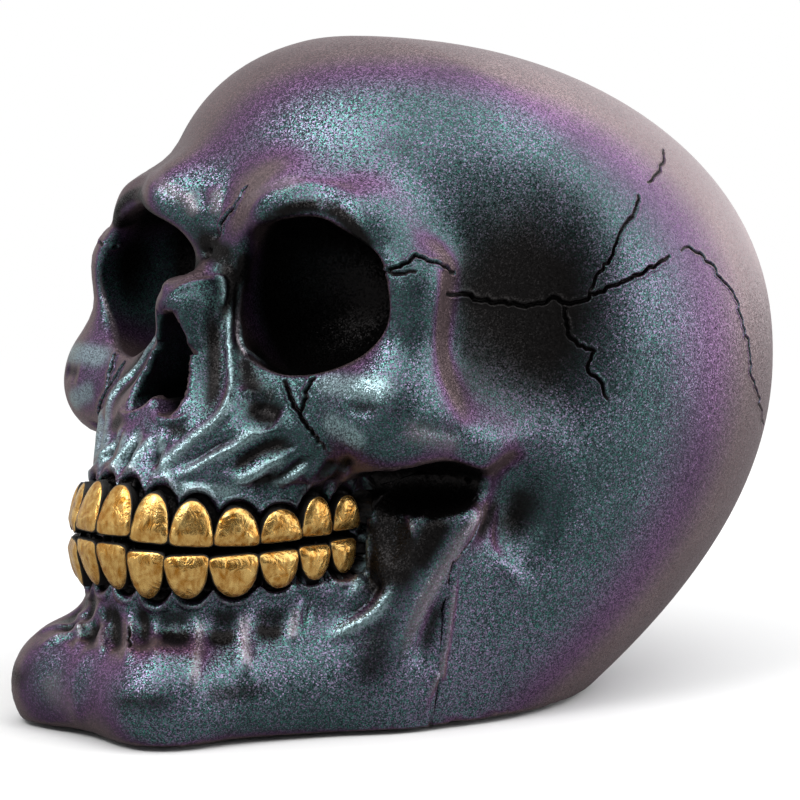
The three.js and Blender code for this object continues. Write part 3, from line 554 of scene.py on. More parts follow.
@dataclass(frozen=True)
class Stroke:
    """A fold, ridge, pit, crack, painted highlight or stroke of painted shade drawn along pixels of the
    photograph.

    Width is from its middle to where it has mostly faded, and lift is its height, negative for a
    groove, both in millimetres. The lift of a stroke of painted shade is its darkness from 0 to 1
    instead. A mirrored stroke is on both sides of the face.
    """

    path: tuple[Pixel, ...]
    width: float
    lift: float
    kind: StrokeKind
    mirrored: bool
    spacing: float = 2.0
    crack_play: float = 1.7

    def pixels(self) -> list[Pixel]:
        """Points along the path: a smooth curve for a fold, a jagged line for a crack."""
        knots = np.array(self.path, float)
        if len(knots) == 1:
            return [tuple(knots[0])]
        if self.kind is StrokeKind.CRACK:
            return self.jagged(knots)
        ends = np.vstack([2 * knots[0] - knots[1], knots, 2 * knots[-1] - knots[-2]])
        points = []
        for a, b, c, d in zip(ends, ends[1:], ends[2:], ends[3:]):
            for t in np.arange(0.0, 1.0, self.spacing / max(np.linalg.norm(c - b), self.spacing)):
                bend = (2 * a - 5 * b + 4 * c - d) * t * t + (3 * b - 3 * c + d - a) * t**3
                points.append(tuple(b + 0.5 * ((c - a) * t + bend)))
        return points + [tuple(knots[-1])]

    def jagged(self, knots: np.ndarray) -> list[Pixel]:
        """A broken line through the knots with a little sideways play."""
        play = np.random.default_rng(len(knots))
        points = []
        for a, b in zip(knots, knots[1:]):
            length = max(np.linalg.norm(b - a), TINY)
            count = max(int(length / (2.0 * self.spacing)), 1)
            side = np.array([a[1] - b[1], b[0] - a[0]]) / length
            for i in range(count):
                shift = side * play.uniform(-self.crack_play, self.crack_play) if i else 0.0
                points.append(tuple(a + (b - a) * i / count + shift))
        return points + [tuple(knots[-1])]


def strokes(kind: StrokeKind, mirrored: bool, *rows: tuple) -> tuple[Stroke, ...]:
    """Strokes of one kind, from rows of a width, a lift and the pixels of a path."""
    return tuple(Stroke(tuple(path), width, lift, kind, mirrored) for width, lift, *path in rows)


STROKES = (
    # Grooves below 0 and folds above it, on both sides of the face.
    *strokes(
        StrokeKind.FOLD, True,
        (1.0, -1.1, (246, 437), (222, 443), (205, 453), (192, 462), (180, 471)),
        (1.6, -1.3, (298, 440), (268, 447), (246, 459), (224, 475)),
        (0.95, -1.0, (283, 462), (270, 475), (256, 488), (250, 494)),
        (0.9, -1.0, (316, 456), (298, 465), (278, 480), (262, 492)),
        (0.4, -0.5, (300, 443), (280, 452), (262, 460)),
        (1.0, -0.9, (334, 460), (322, 475), (312, 492)),
        (1.2, -0.9, (352, 455), (338, 476), (328, 494)),
        (0.8, -0.8, (168, 438), (158, 455), (150, 470)),
        (0.9, -0.8, (140, 425), (138, 440), (128, 456), (118, 472)),
        (0.7, -0.5, (124, 432), (112, 450), (100, 470)),
        (1.6, -0.7, (240, 330), (240, 360), (243, 388)),
        (2.2, -0.8, (212, 300), (213, 340), (214, 385), (206, 410)),
        (0.6, 0.5, (190, 322), (193, 345), (194, 375), (192, 402)),
        (0.7, 0.7, (153, 409), (160, 420), (178, 421), (192, 412)),
        (1.5, 0.35, (240, 226), (258, 206), (283, 192), (310, 186), (338, 190), (360, 205), (378, 228)),
        (0.8, 0.5, (222, 277), (206, 282), (188, 288), (170, 296)),
        (2.2, -1.3, (252, 404), (266, 410), (282, 416)),
        (1.2, 0.7, (240, 396), (250, 392), (258, 398)),
        (0.6, -0.6, (254, 430), (266, 427), (276, 422)),
        (2.0, -0.6, (346, 408), (378, 408)),
        (1.6, -0.4, (398, 425), (436, 430), (470, 436)),
        (1.5, -0.6, (114, 608), (117, 652)),
        (1.8, -0.6, (142, 608), (146, 650)),
        (2.8, -0.5, (158, 620), (176, 630), (194, 628)),
        (2.8, -0.5, (206, 626), (222, 632), (240, 626)),
        (2.6, -0.5, (256, 622), (270, 628), (284, 622)),
        (0.8, -0.6, (312, 590), (308, 608), (303, 628)),
        (1.2, -0.8, (382, 576), (369, 598), (344, 620)),
        (3.2, -0.8, (384, 490), (388, 530), (392, 570)),
        (1.7, -0.6, (441, 593), (428, 636), (416, 672)),
        (1.8, 0.5, (504, 488), (492, 521), (492, 551), (517, 581), (538, 610)),
    ),
    # Pits at the root of the nose and between the front roots of the lower jaw, not mirrored.
    *strokes(
        StrokeKind.FOLD, False,
        (1.1, -1.6, (206, 252)),
        (1.0, -0.7, (214, 228), (216, 240)),
        (1.5, -0.4, (199, 184), (204, 208)),
        (1.2, -0.4, (69, 608), (70, 646)),
        (1.4, -0.5, (89, 608), (92, 650)),
    ),
    # Rubbed ridges of both jaws and of the branch of the lower jaw, and broad painted highlights along the
    # brow and the cheek arch.
    *strokes(
        StrokeKind.RUBBED_AND_HIGHLIGHT, True,
        (1.1, 0.5, (348, 466), (338, 484), (332, 496)),
        (0.9, 0.4, (325, 470), (314, 486), (306, 498)),
        (2.4, 0.05, (230, 216), (254, 196), (288, 182), (326, 180)),
        (3.6, 0.1, (386, 420), (424, 436), (476, 450)),
        (1.2, 0.7, (127, 606), (130, 630), (128, 668)),
        (1.0, 0.4, (154, 616), (155, 640), (157, 668)),
        (1.5, 0.8, (202, 604), (198, 648), (190, 706)),
        (1.6, 0.8, (251, 602), (244, 631), (249, 682)),
        (1.4, 0.6, (298, 600), (290, 646)),
        (0.9, 0.5, (407, 507), (412, 522), (416, 540)),
        (0.9, 0.5, (425, 509), (420, 526)),
        (1.9, 0.8, (492, 475), (479, 505), (456, 543), (433, 585), (416, 619), (403, 652), (394, 690)),
        (0.8, 0.6, (456, 556), (450, 593), (445, 627), (439, 665), (426, 699), (416, 720)),
    ),
    # Rubbed ridges between the brows and below the front teeth, and a broad painted reflection on the side of
    # the chin, not mirrored.
    *strokes(
        StrokeKind.RUBBED_AND_HIGHLIGHT, False,
        (2.4, 0.4, (214, 184), (218, 204), (212, 222)),
        (2.0, 0.4, (186, 188), (191, 204), (198, 222)),
        (1.0, 0.6, (78, 606), (80, 624), (76, 656)),
        (1.1, 0.6, (99, 606), (101, 626), (102, 660)),
        (5.0, 0.05, (46, 662), (58, 696), (88, 716)),
    ),
    # Painted highlights on the flutes of the upper jaw, the cheekbone, and the edges of the nose, the eye
    # socket and the mouth's corner.
    *strokes(
        StrokeKind.PAINTED_HIGHLIGHT, True,
        (1.2, 0.7, (231, 385), (229, 400), (222, 415), (208, 428), (192, 440), (176, 458), (160, 478)),
        (1.3, 0.8, (278, 426), (255, 434), (232, 447), (208, 459), (185, 472), (170, 484)),
        (1.5, 0.3, (160, 486), (190, 490), (225, 492), (250, 496)),
        (1.4, 0.7, (292, 452), (270, 466), (248, 478), (225, 486)),
        (0.9, 0.6, (312, 461), (290, 477), (272, 490)),
        (1.0, 0.5, (126, 424), (112, 446), (92, 474)),
        (1.0, 0.5, (142, 424), (126, 452), (108, 476)),
        (1.0, 0.5, (156, 432), (138, 458), (124, 480)),
        (1.0, 0.45, (186, 438), (166, 462), (148, 482)),
        (0.65, 0.8, (236, 286), (230, 312), (229, 341), (231, 387), (222, 416), (207, 430)),
        (0.55, 0.5, (212, 275), (222, 278), (224, 292), (221, 308)),
        (0.7, 0.6, (253, 258), (244, 282), (239, 306), (240, 330), (250, 352), (275, 369), (300, 376)),
        (2.5, 0.1, (308, 382), (350, 386), (404, 392)),
        (2.3, 0.05, (318, 416), (346, 432), (372, 446)),
        (1.1, 0.8, (364, 509), (367, 538), (361, 576), (349, 606)),
        (1.5, 0.8, (395, 585), (376, 612), (352, 627), (326, 637)),
    ),
    # Painted shade, with its darkness in place of a lift.
    *strokes(
        StrokeKind.PAINTED_SHADE, True,
        (1.4, 0.9, (113, 604), (114, 620), (117, 648)),
        (1.8, 0.85, (140, 604), (143, 620), (146, 644)),
        (2.8, 0.62, (154, 610), (170, 618), (194, 614)),
        (2.2, 0.85, (154, 630), (176, 636), (198, 632)),
        (2.8, 0.62, (208, 612), (224, 618), (244, 612)),
        (2.2, 0.85, (204, 632), (222, 637), (242, 632)),
        (2.8, 0.6, (252, 612), (272, 618), (290, 612)),
        (2.2, 0.8, (252, 626), (272, 631), (288, 626)),
        (2.4, 0.6, (112, 702), (142, 703), (174, 700)),
        (2.8, 0.6, (196, 696), (232, 693), (268, 687)),
        (1.8, 0.4, (121, 680), (117, 712)),
        (4.6, 0.62, (386, 604), (376, 642), (368, 694)),
        (4.8, 0.9, (372, 508), (380, 552), (376, 606)),
        (4.6, 0.86, (404, 508), (404, 548), (392, 596)),
        (4.0, 0.86, (446, 512), (430, 540), (410, 574)),
        (1.6, 0.8, (500, 496), (474, 542)),
        (1.9, 0.7, (440, 598), (424, 655)),
        (4.8, 0.72, (532, 484), (518, 512), (504, 542)),
        (2.2, 0.7, (165, 430), (190, 432)),
        (2.1, 0.8, (212, 300), (214, 345), (213, 388), (206, 420)),
        (2.6, 0.85, (248, 404), (262, 412), (274, 420)),
        (2.4, 0.6, (262, 392), (276, 397)),
        (1.7, 0.6, (346, 406), (380, 408)),
        (2.6, 0.95, (222, 254), (229, 274), (231, 300), (228, 330)),
        (2.0, 0.9, (246, 252), (243, 272), (239, 292)),
        (2.8, 0.72, (242, 346), (248, 378), (266, 398)),
        (1.7, 0.85, (252, 240), (268, 220), (291, 209), (317, 206), (340, 214), (361, 237), (376, 264)),
        (7.0, 0.36, (372, 160), (418, 140)),
    ),
    # Painted shade between the front roots and at the root of the nose, not mirrored.
    *strokes(
        StrokeKind.PAINTED_SHADE, False,
        (1.0, 0.75, (68, 604), (68, 616), (70, 640)),
        (1.2, 0.85, (88, 604), (89, 618), (92, 646)),
        (2.8, 0.95, (200, 230), (208, 244), (220, 254), (236, 258)),
    ),
    # Cracks of the cranium, the eye socket's outer edge and the cheek, on both sides.
    *strokes(
        StrokeKind.CRACK, True,
        (0.36, -1.1, (447, 294), (463, 294), (482, 301), (500, 302), (522, 306), (542, 304), (553, 297),
         (565, 303), (580, 302), (599, 292), (622, 282), (639, 275), (668, 257)),
        (0.33, -0.9, (588, 294), (595, 279), (610, 259), (617, 242), (622, 229), (634, 212), (638, 196)),
        (0.33, -0.9, (563, 305), (566, 325), (570, 338), (578, 346), (591, 349), (594, 351), (587, 367),
         (588, 372), (599, 380), (603, 390), (607, 399)),
        (0.38, -1.0, (382, 273), (400, 268), (415, 256), (431, 264), (440, 267), (454, 273)),
        (0.4, -1.1, (285, 382), (290, 398), (299, 412), (303, 421), (313, 435), (324, 449)),
        (0.4, -1.1, (315, 379), (308, 389), (303, 405), (300, 413)),
    ),
    # Cracks of the forehead, crown, rear, eye socket and chin, not mirrored.
    *strokes(
        StrokeKind.CRACK, False,
        (0.26, -0.5, (647, 183), (656, 174), (663, 163), (663, 150)),
        (0.26, -0.6, (681, 251), (688, 247), (709, 263), (720, 278), (733, 293), (742, 321), (748, 344),
         (751, 378), (757, 395), (761, 415), (764, 438)),
        (0.35, -0.8, (384, 272), (400, 275), (415, 273)),
        (0.4, -1.1, (247, 187), (241, 198), (230, 212), (221, 224), (218, 235)),
        (0.3, -0.5, (129, 628), (131, 650)),
    ),
)


def mesh_points(mesh: bpy.types.Mesh) -> np.ndarray:
    """Vertices of a mesh in millimetres, one in each row."""
    flat = np.empty(len(mesh.vertices) * 3)
    mesh.vertices.foreach_get("co", flat)
    return flat.reshape(-1, 3) / MM


def set_points(mesh: bpy.types.Mesh, points: np.ndarray) -> None:
    """Moves the vertices of a mesh to points in millimetres."""
    mesh.vertices.foreach_set("co", (points * MM).ravel())
    mesh.update()


def mesh_normals(mesh: bpy.types.Mesh) -> np.ndarray:
    """Vertex normals of a mesh, one in each row."""
    flat = np.empty(len(mesh.vertices) * 3)
    mesh.vertex_normals.foreach_get("vector", flat)
    return flat.reshape(-1, 3)


def set_attribute(mesh: bpy.types.Mesh, name: str, values: np.ndarray) -> None:
    """Stores one number for each vertex under a name."""
    layer = mesh.attributes.new(name, "FLOAT", "POINT")
    layer.data.foreach_set("value", values.astype(np.float32))


def add_piece(name: str, mesh: bpy.types.Mesh) -> bpy.types.Object:
    """Puts a mesh into the scene as an object at the origin."""
    piece = bpy.data.objects.new(name, mesh)
    bpy.context.scene.collection.objects.link(piece)
    return piece


def merged_copy(nodes: list[str]) -> bmesh.types.BMesh:
    """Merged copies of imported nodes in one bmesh."""
    bm = bmesh.new()
    for name in nodes:
        bm.from_mesh(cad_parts[name].data)
    bmesh.ops.remove_doubles(bm, verts=bm.verts, dist=MERGE_DISTANCE)
    return bm


def remeshed(bm: bmesh.types.BMesh, voxel: float) -> bpy.types.Mesh:
    """Even quads over the solids of a bmesh.

    Args:
        bm: closed solids, which is freed.
        voxel: size of the quads in metres.

    Returns:
        The new mesh.
    """
    rough = bpy.data.meshes.new("rough")
    bm.to_mesh(rough)
    bm.free()
    holder = add_piece("rough", rough)
    step = holder.modifiers.new("even_quads", "REMESH")
    step.mode = "VOXEL"
    step.voxel_size = voxel
    graph = bpy.context.evaluated_depsgraph_get()
    mesh = bpy.data.meshes.new_from_object(holder.evaluated_get(graph))
    bpy.data.objects.remove(holder)
    bpy.data.meshes.remove(rough)
    return mesh


@dataclass
class DrawnStroke:
    """A stroke laid on the form, its points in millimetres.

    Sight is the direction in which a stroke of painted shade spreads freely, the camera's line of
    sight, so that it crosses steps in the surface. It is zero for a stroke that stays on its own surface.
    """

    stroke: Stroke
    points: np.ndarray
    sight: np.ndarray
    depth_share: float = 0.35

    def near(self, points: np.ndarray, reach: float) -> tuple[np.ndarray, np.ndarray, np.ndarray]:
        """Finds the points within a reach of the stroke.

        Args:
            points: frame points in millimetres.
            reach: distance in millimetres.

        Returns:
            Their indices, distances and shares of the stroke's length.
        """
        margin = reach * (1.0 + np.abs(self.sight) * (1.0 / self.depth_share - 1.0))
        low, high = self.points.min(axis=0) - margin, self.points.max(axis=0) + margin
        index = np.nonzero(((points > low) & (points < high)).all(axis=1))[0]
        squash = np.eye(3) - (1.0 - self.depth_share) * np.outer(self.sight, self.sight)
        p, line = points[index] @ squash, self.points @ squash
        distance = np.linalg.norm(p - line[0], axis=1)
        share = np.zeros(len(p))
        lengths = np.linalg.norm(np.diff(line, axis=0), axis=1)
        total, done = max(lengths.sum(), TINY), 0.0
        for a, b, length in zip(line, line[1:], lengths):
            along = b - a
            t = np.clip((p - a) @ along / max(along @ along, TINY), 0.0, 1.0)
            off = np.linalg.norm(p - a - t[:, None] * along, axis=1)
            closer = off < distance
            distance = np.where(closer, off, distance)
            share = np.where(closer, (done + t * length) / total, share)
            done += length
        inside = distance < reach
        return index[inside], distance[inside], share[inside]


@dataclass
class Sculptor:
    """Lays the strokes on the castings and works out how far they lift or cut the surface."""

    form: SkullForm
    view: PhotoView
    box: np.ndarray
    relief: float = 1.1
    laying_reach: float = 4.0
    stroke_reach: float = 3.2
    fold_ends: tuple = (-0.05, 0.3)
    # How much of its darkness a stroke of painted shade keeps at its ends.
    shade_end: float = 0.5
    crack_half: float = 1.15
    crack_lip: float = 0.22
    crack_lip_place: tuple = (1.7, 0.6)
    crack_end: float = 0.35
    crack_end_length: float = 0.1
    crack_stain: float = 1.4
    drawn: list[DrawnStroke] = field(default_factory=list)

    def lay(self, table: tuple[Stroke, ...], tree: BVHTree) -> None:
        """Casts strokes from the photograph onto the surface, and mirrors those that are on both sides."""
        for stroke in table:
            hits = []
            for pixel in stroke.pixels():
                hit = tree.ray_cast(*self.view.ray(pixel))[0]
                if hit is not None:
                    hits.append(np.array(hit) / MM)
            if not hits:
                LOG.warning("a stroke from %s missed the castings", stroke.path[0])
                continue
            points = self.form.settle(np.array(hits), self.laying_reach)
            # Strokes of painted shade spread along the camera's line of sight.
            sight = np.array(self.view.axes()[2]) * (stroke.kind is StrokeKind.PAINTED_SHADE)
            self.drawn.append(DrawnStroke(stroke, points, sight))
            if stroke.mirrored:
                self.drawn.append(DrawnStroke(stroke, points * MIRROR, sight * MIRROR))

    def closeness(self, points: np.ndarray, kinds: tuple[StrokeKind, ...], reach: float) -> np.ndarray:
        """True for points within a reach of a stroke of one of the kinds."""
        near = np.zeros(len(points), bool)
        for drawn in self.drawn:
            if drawn.stroke.kind in kinds:
                near[drawn.near(points, reach)[0]] = True
        return near

    def lifts(self, points: np.ndarray) -> dict[str, np.ndarray]:
        """Works out what all the strokes do at points.

        Args:
            points: frame points in millimetres.

        Returns:
            The lift in millimetres, and shares from 0 to 1 of crack, of rubbed wear with painted highlight,
            of painted highlight and of painted shade.
        """
        found = {name: np.zeros(len(points)) for name in ("lift", "crack", "rub_and_highlight", "highlight", "black_wash_and_shade")}
        for drawn in self.drawn:
            stroke = drawn.stroke
            index, distance, share = drawn.near(points, self.stroke_reach * stroke.width)
            q = distance / stroke.width
            ends = np.minimum(share, 1.0 - share)
            if stroke.kind is StrokeKind.CRACK:
                lip = self.crack_lip * bell(q, *self.crack_lip_place)
                notch = np.clip(self.crack_half - q, 0.0, 1.0) - lip
                full = smoothstep(0.0, self.crack_end_length, ends)
                found["lift"][index] += stroke.lift * notch * (self.crack_end + (1.0 - self.crack_end) * full)
                darkening = np.clip(self.crack_stain - q, 0.0, 1.0)
                found["crack"][index] = np.maximum(found["crack"][index], darkening)
                continue
            bump = bell(q, 0.0, 1.0)
            fade = smoothstep(*self.fold_ends, ends) if len(drawn.points) > 1 else 1.0
            # A stroke of painted shade darkens the paint and leaves the surface as it is.
            if stroke.kind is StrokeKind.PAINTED_SHADE:
                darkening = stroke.lift * bump * (self.shade_end + (1.0 - self.shade_end) * fade)
                found["black_wash_and_shade"][index] = np.maximum(found["black_wash_and_shade"][index], darkening)
                continue
            found["lift"][index] += self.relief * stroke.lift * bump * fade
            # Rubbed ridges are part wear and part painted highlight; the mint strokes are painted highlight
            # only.
            name = {StrokeKind.RUBBED_AND_HIGHLIGHT: "rub_and_highlight", StrokeKind.PAINTED_HIGHLIGHT: "highlight"}.get(stroke.kind)
            if name:
                found[name][index] = np.maximum(found[name][index], bump * fade)
        return found


@dataclass
class Casting:
    """One painted casting: an even copy of its solid, refined where it is carved, then sculpted."""

    node: str
    fill: list[str]
    voxel: float
    settle_reach: float = 3.0
    crack_reaches: tuple = (3.0, 1.8, 1.0)
    fold_reaches: tuple = (3.4, 1.9)
    rim_reaches: tuple = (3.0, 1.5)
    gum_reach: float = 5.0
    gum_height: float = 15.0
    gum_end: float = 4.0
    skin_fade: tuple = (0.5, 1.5)
    recess_fade: tuple = (0.35, 0.8)
    recess_depth: float = 0.9
    recess_walls: tuple = (3.0, 5.0)
    recess_end: float = 2.0
    gum_rim_place: tuple = (1.15, 0.4)
    gum_rim_lift: float = 0.6
    # Lighter colour along the gum rims.
    gum_rim_lightening: float = 0.7
    floor_fade: float = 3.0
    ridge_clean: float = 0.8
    # Painted shade from occlusion and its strength, and painted shade in grooves by their depth.
    shade_reaches: tuple = ((3.0, 0.3), (7.0, 0.4), (14.0, 0.3))
    shade_dark: float = 0.72
    groove_shade: float = 0.6
    groove_limit: float = 2.0
    outer_fade: tuple = (1.0, 3.0)
    # Painted shade deep in the eye sockets and the nose.
    cavity_shade: float = 0.86
    cavity_fade: tuple = (0.8, 7.0)
    # Painted highlight along the edges of the eye sockets.
    lip_place: tuple = (0.1, 0.4)
    lip_top: tuple = (-4.0, 6.0)
    lip_highlight: float = 0.9
    # Shares of the lighter colour from raised relief and rubbed ridges, part wear and part painted highlight.
    lift_wear_and_highlight: float = 0.2
    rub_and_highlight_share: float = 0.5
    mesh: bpy.types.Mesh | None = None

    def start(self) -> None:
        """Makes the even copy, with the tooth sockets filled."""
        self.mesh = remeshed(merged_copy([self.node, *self.fill]), self.voxel * MM)
        LOG.info("%s starts with %d faces", self.node, len(self.mesh.polygons))

    def refine(self, sculptor: Sculptor) -> None:
        """Splits the faces along folds, gums and socket edges twice, and those along cracks three times."""
        folds = (StrokeKind.FOLD, StrokeKind.RUBBED_AND_HIGHLIGHT, StrokeKind.PAINTED_HIGHLIGHT)
        for level, crack_reach in enumerate(self.crack_reaches):
            centres = np.empty(len(self.mesh.polygons) * 3)
            self.mesh.polygons.foreach_get("center", centres)
            centres = centres.reshape(-1, 3) / MM
            near = sculptor.closeness(centres, (StrokeKind.CRACK,), crack_reach)
            if level < len(self.fold_reaches):
                near |= sculptor.closeness(centres, folds, self.fold_reaches[level])
                near |= self.in_gums(sculptor.form, centres)
                near |= self.on_rim(sculptor.form, centres, self.rim_reaches[level])
            bm = bmesh.new()
            bm.from_mesh(self.mesh)
            bm.faces.ensure_lookup_table()
            edges = dict.fromkeys(edge for i in np.nonzero(near)[0] for edge in bm.faces[i].edges)
            bmesh.ops.subdivide_edges(bm, edges=list(edges), cuts=1, use_grid_fill=True)
            bm.to_mesh(self.mesh)
            bm.free()

    def in_gums(self, form: SkullForm, points: np.ndarray) -> np.ndarray:
        """True for points round the tooth rows."""
        p = form.fold_in(points)
        near = np.abs(form.arch.outside(p)) < self.gum_reach
        near &= np.abs(p[:, 2] - form.arch.bite_level) < self.gum_height
        return near & (p[:, 1] < form.arch.centre + self.gum_end)

    def on_rim(self, form: SkullForm, points: np.ndarray, reach: float) -> np.ndarray:
        """True for points within a reach of the edge of an eye socket."""
        p = form.fold_in(points)
        return (np.abs(form.orbit(p)) < reach) & (np.abs(form.skin(p)) < reach)

    def sculpt(self, sculptor: Sculptor) -> None:
        """Draws the copy onto the form, carves it and stores the shares that the paint reads."""
        form = sculptor.form
        points = form.settle(mesh_points(self.mesh), self.settle_reach)
        low, high = sculptor.box
        points = np.clip(points, (low[0], low[1], form.cranium.stand), high)
        set_points(self.mesh, points)
        normals = mesh_normals(self.mesh)
        outer = 1.0 - smoothstep(*self.skin_fade, np.abs(form.value(points)))
        found = sculptor.lifts(points)
        p = form.fold_in(points)
        edge = form.arch.tooth_edges(p)
        gum = 1.0 - smoothstep(*self.recess_walls, np.abs(form.arch.outside(p)))
        gum *= p[:, 1] < form.arch.centre + self.recess_end
        recess = gum * (1.0 - smoothstep(*self.recess_fade, edge))
        rim = gum * bell(edge, *self.gum_rim_place)
        lift = found["lift"] - self.recess_depth * recess + self.gum_rim_lift * rim
        floor = smoothstep(0.0, self.floor_fade, points[:, 2] - form.cranium.stand)
        set_points(self.mesh, np.clip(points + normals * (lift * outer * floor)[:, None], low, high))
        # Painted shade from the dark strokes, kept off the raised ridges; cracks and tooth recesses add their
        # black.
        darkening = found["black_wash_and_shade"] * (1.0 - self.ridge_clean * np.maximum(found["rub_and_highlight"], found["highlight"]))
        dark = np.maximum.reduce([found["crack"], recess, darkening])
        # Lighter ridges, part rubbed wear and part painted highlight, with the gum rims lighter as well.
        rub_and_highlight = np.maximum(found["rub_and_highlight"], self.gum_rim_lightening * rim)
        self.store_shares(form, points, normals, lift, dark, rub_and_highlight)
        # Painted highlights along ridges, kept out of the tooth recesses.
        set_attribute(self.mesh, "painted_highlight", found["highlight"] * (1.0 - recess))

    def store_shares(
        self, form: SkullForm, points: np.ndarray, normals: np.ndarray,
        lift: np.ndarray, dark: np.ndarray, rub_and_highlight: np.ndarray,
    ) -> None:
        """Stores painted shade with the black wash, and rubbed wear with painted highlights, as vertex
        numbers.
        """
        # Painted shade where the form closes in round a point, as ambient occlusion.
        shade = np.zeros(len(points))
        for reach, weight in self.shade_reaches:
            shade += weight * np.clip(1.0 - form.value(points + normals * reach) / reach, 0.0, 1.0)
        p = form.fold_in(points)
        skin, orbit = form.skin(p), form.orbit(p)
        outer = 1.0 - smoothstep(*self.outer_fade, np.abs(form.value(points)))
        # Painted shade deep in the eye sockets and the nose.
        depth_shade = self.cavity_shade * smoothstep(*self.cavity_fade, -skin) * outer
        # Painted shade in the temple and below the cheek.
        painted_hollow_shade = form.painted_hollow_shade(p) * outer
        # Painted shade in grooves, darker the deeper they are.
        shade = shade * self.shade_dark + np.clip(-lift, 0.0, self.groove_limit) * self.groove_shade
        black_wash_and_shade = np.clip(np.maximum.reduce([shade, dark, depth_shade, painted_hollow_shade]), 0.0, 1.0)
        # Painted highlight along the edges of the eye sockets, fading out towards their tops.
        lip = bell(orbit, *self.lip_place) * (1.0 - smoothstep(*self.skin_fade, np.abs(skin)))
        lip *= 1.0 - smoothstep(*self.lip_top, p[:, 2] - form.orbit_centre[2])
        # Lighter colour: raised relief and rubbed ridges, part wear and part painted highlight, and the
        # painted highlight on the socket edges.
        worn = np.clip(lift, 0.0, 1.0) * self.lift_wear_and_highlight + self.rub_and_highlight_share * rub_and_highlight + self.lip_highlight * lip
        set_attribute(self.mesh, "black_wash_and_shade", black_wash_and_shade)
        set_attribute(self.mesh, "worn", np.clip(worn, 0.0, 1.0))

    def place(self, finish: bpy.types.Material) -> bpy.types.Object:
        """Adds the finished casting to the scene in place of its solid."""
        self.mesh.polygons.foreach_set("use_smooth", np.ones(len(self.mesh.polygons), bool))
        self.mesh.materials.clear()
        self.mesh.materials.append(finish)
        piece = add_piece(f"{self.node}_casting", self.mesh)
        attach(piece, "root")
        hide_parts(self.node)
        return piece


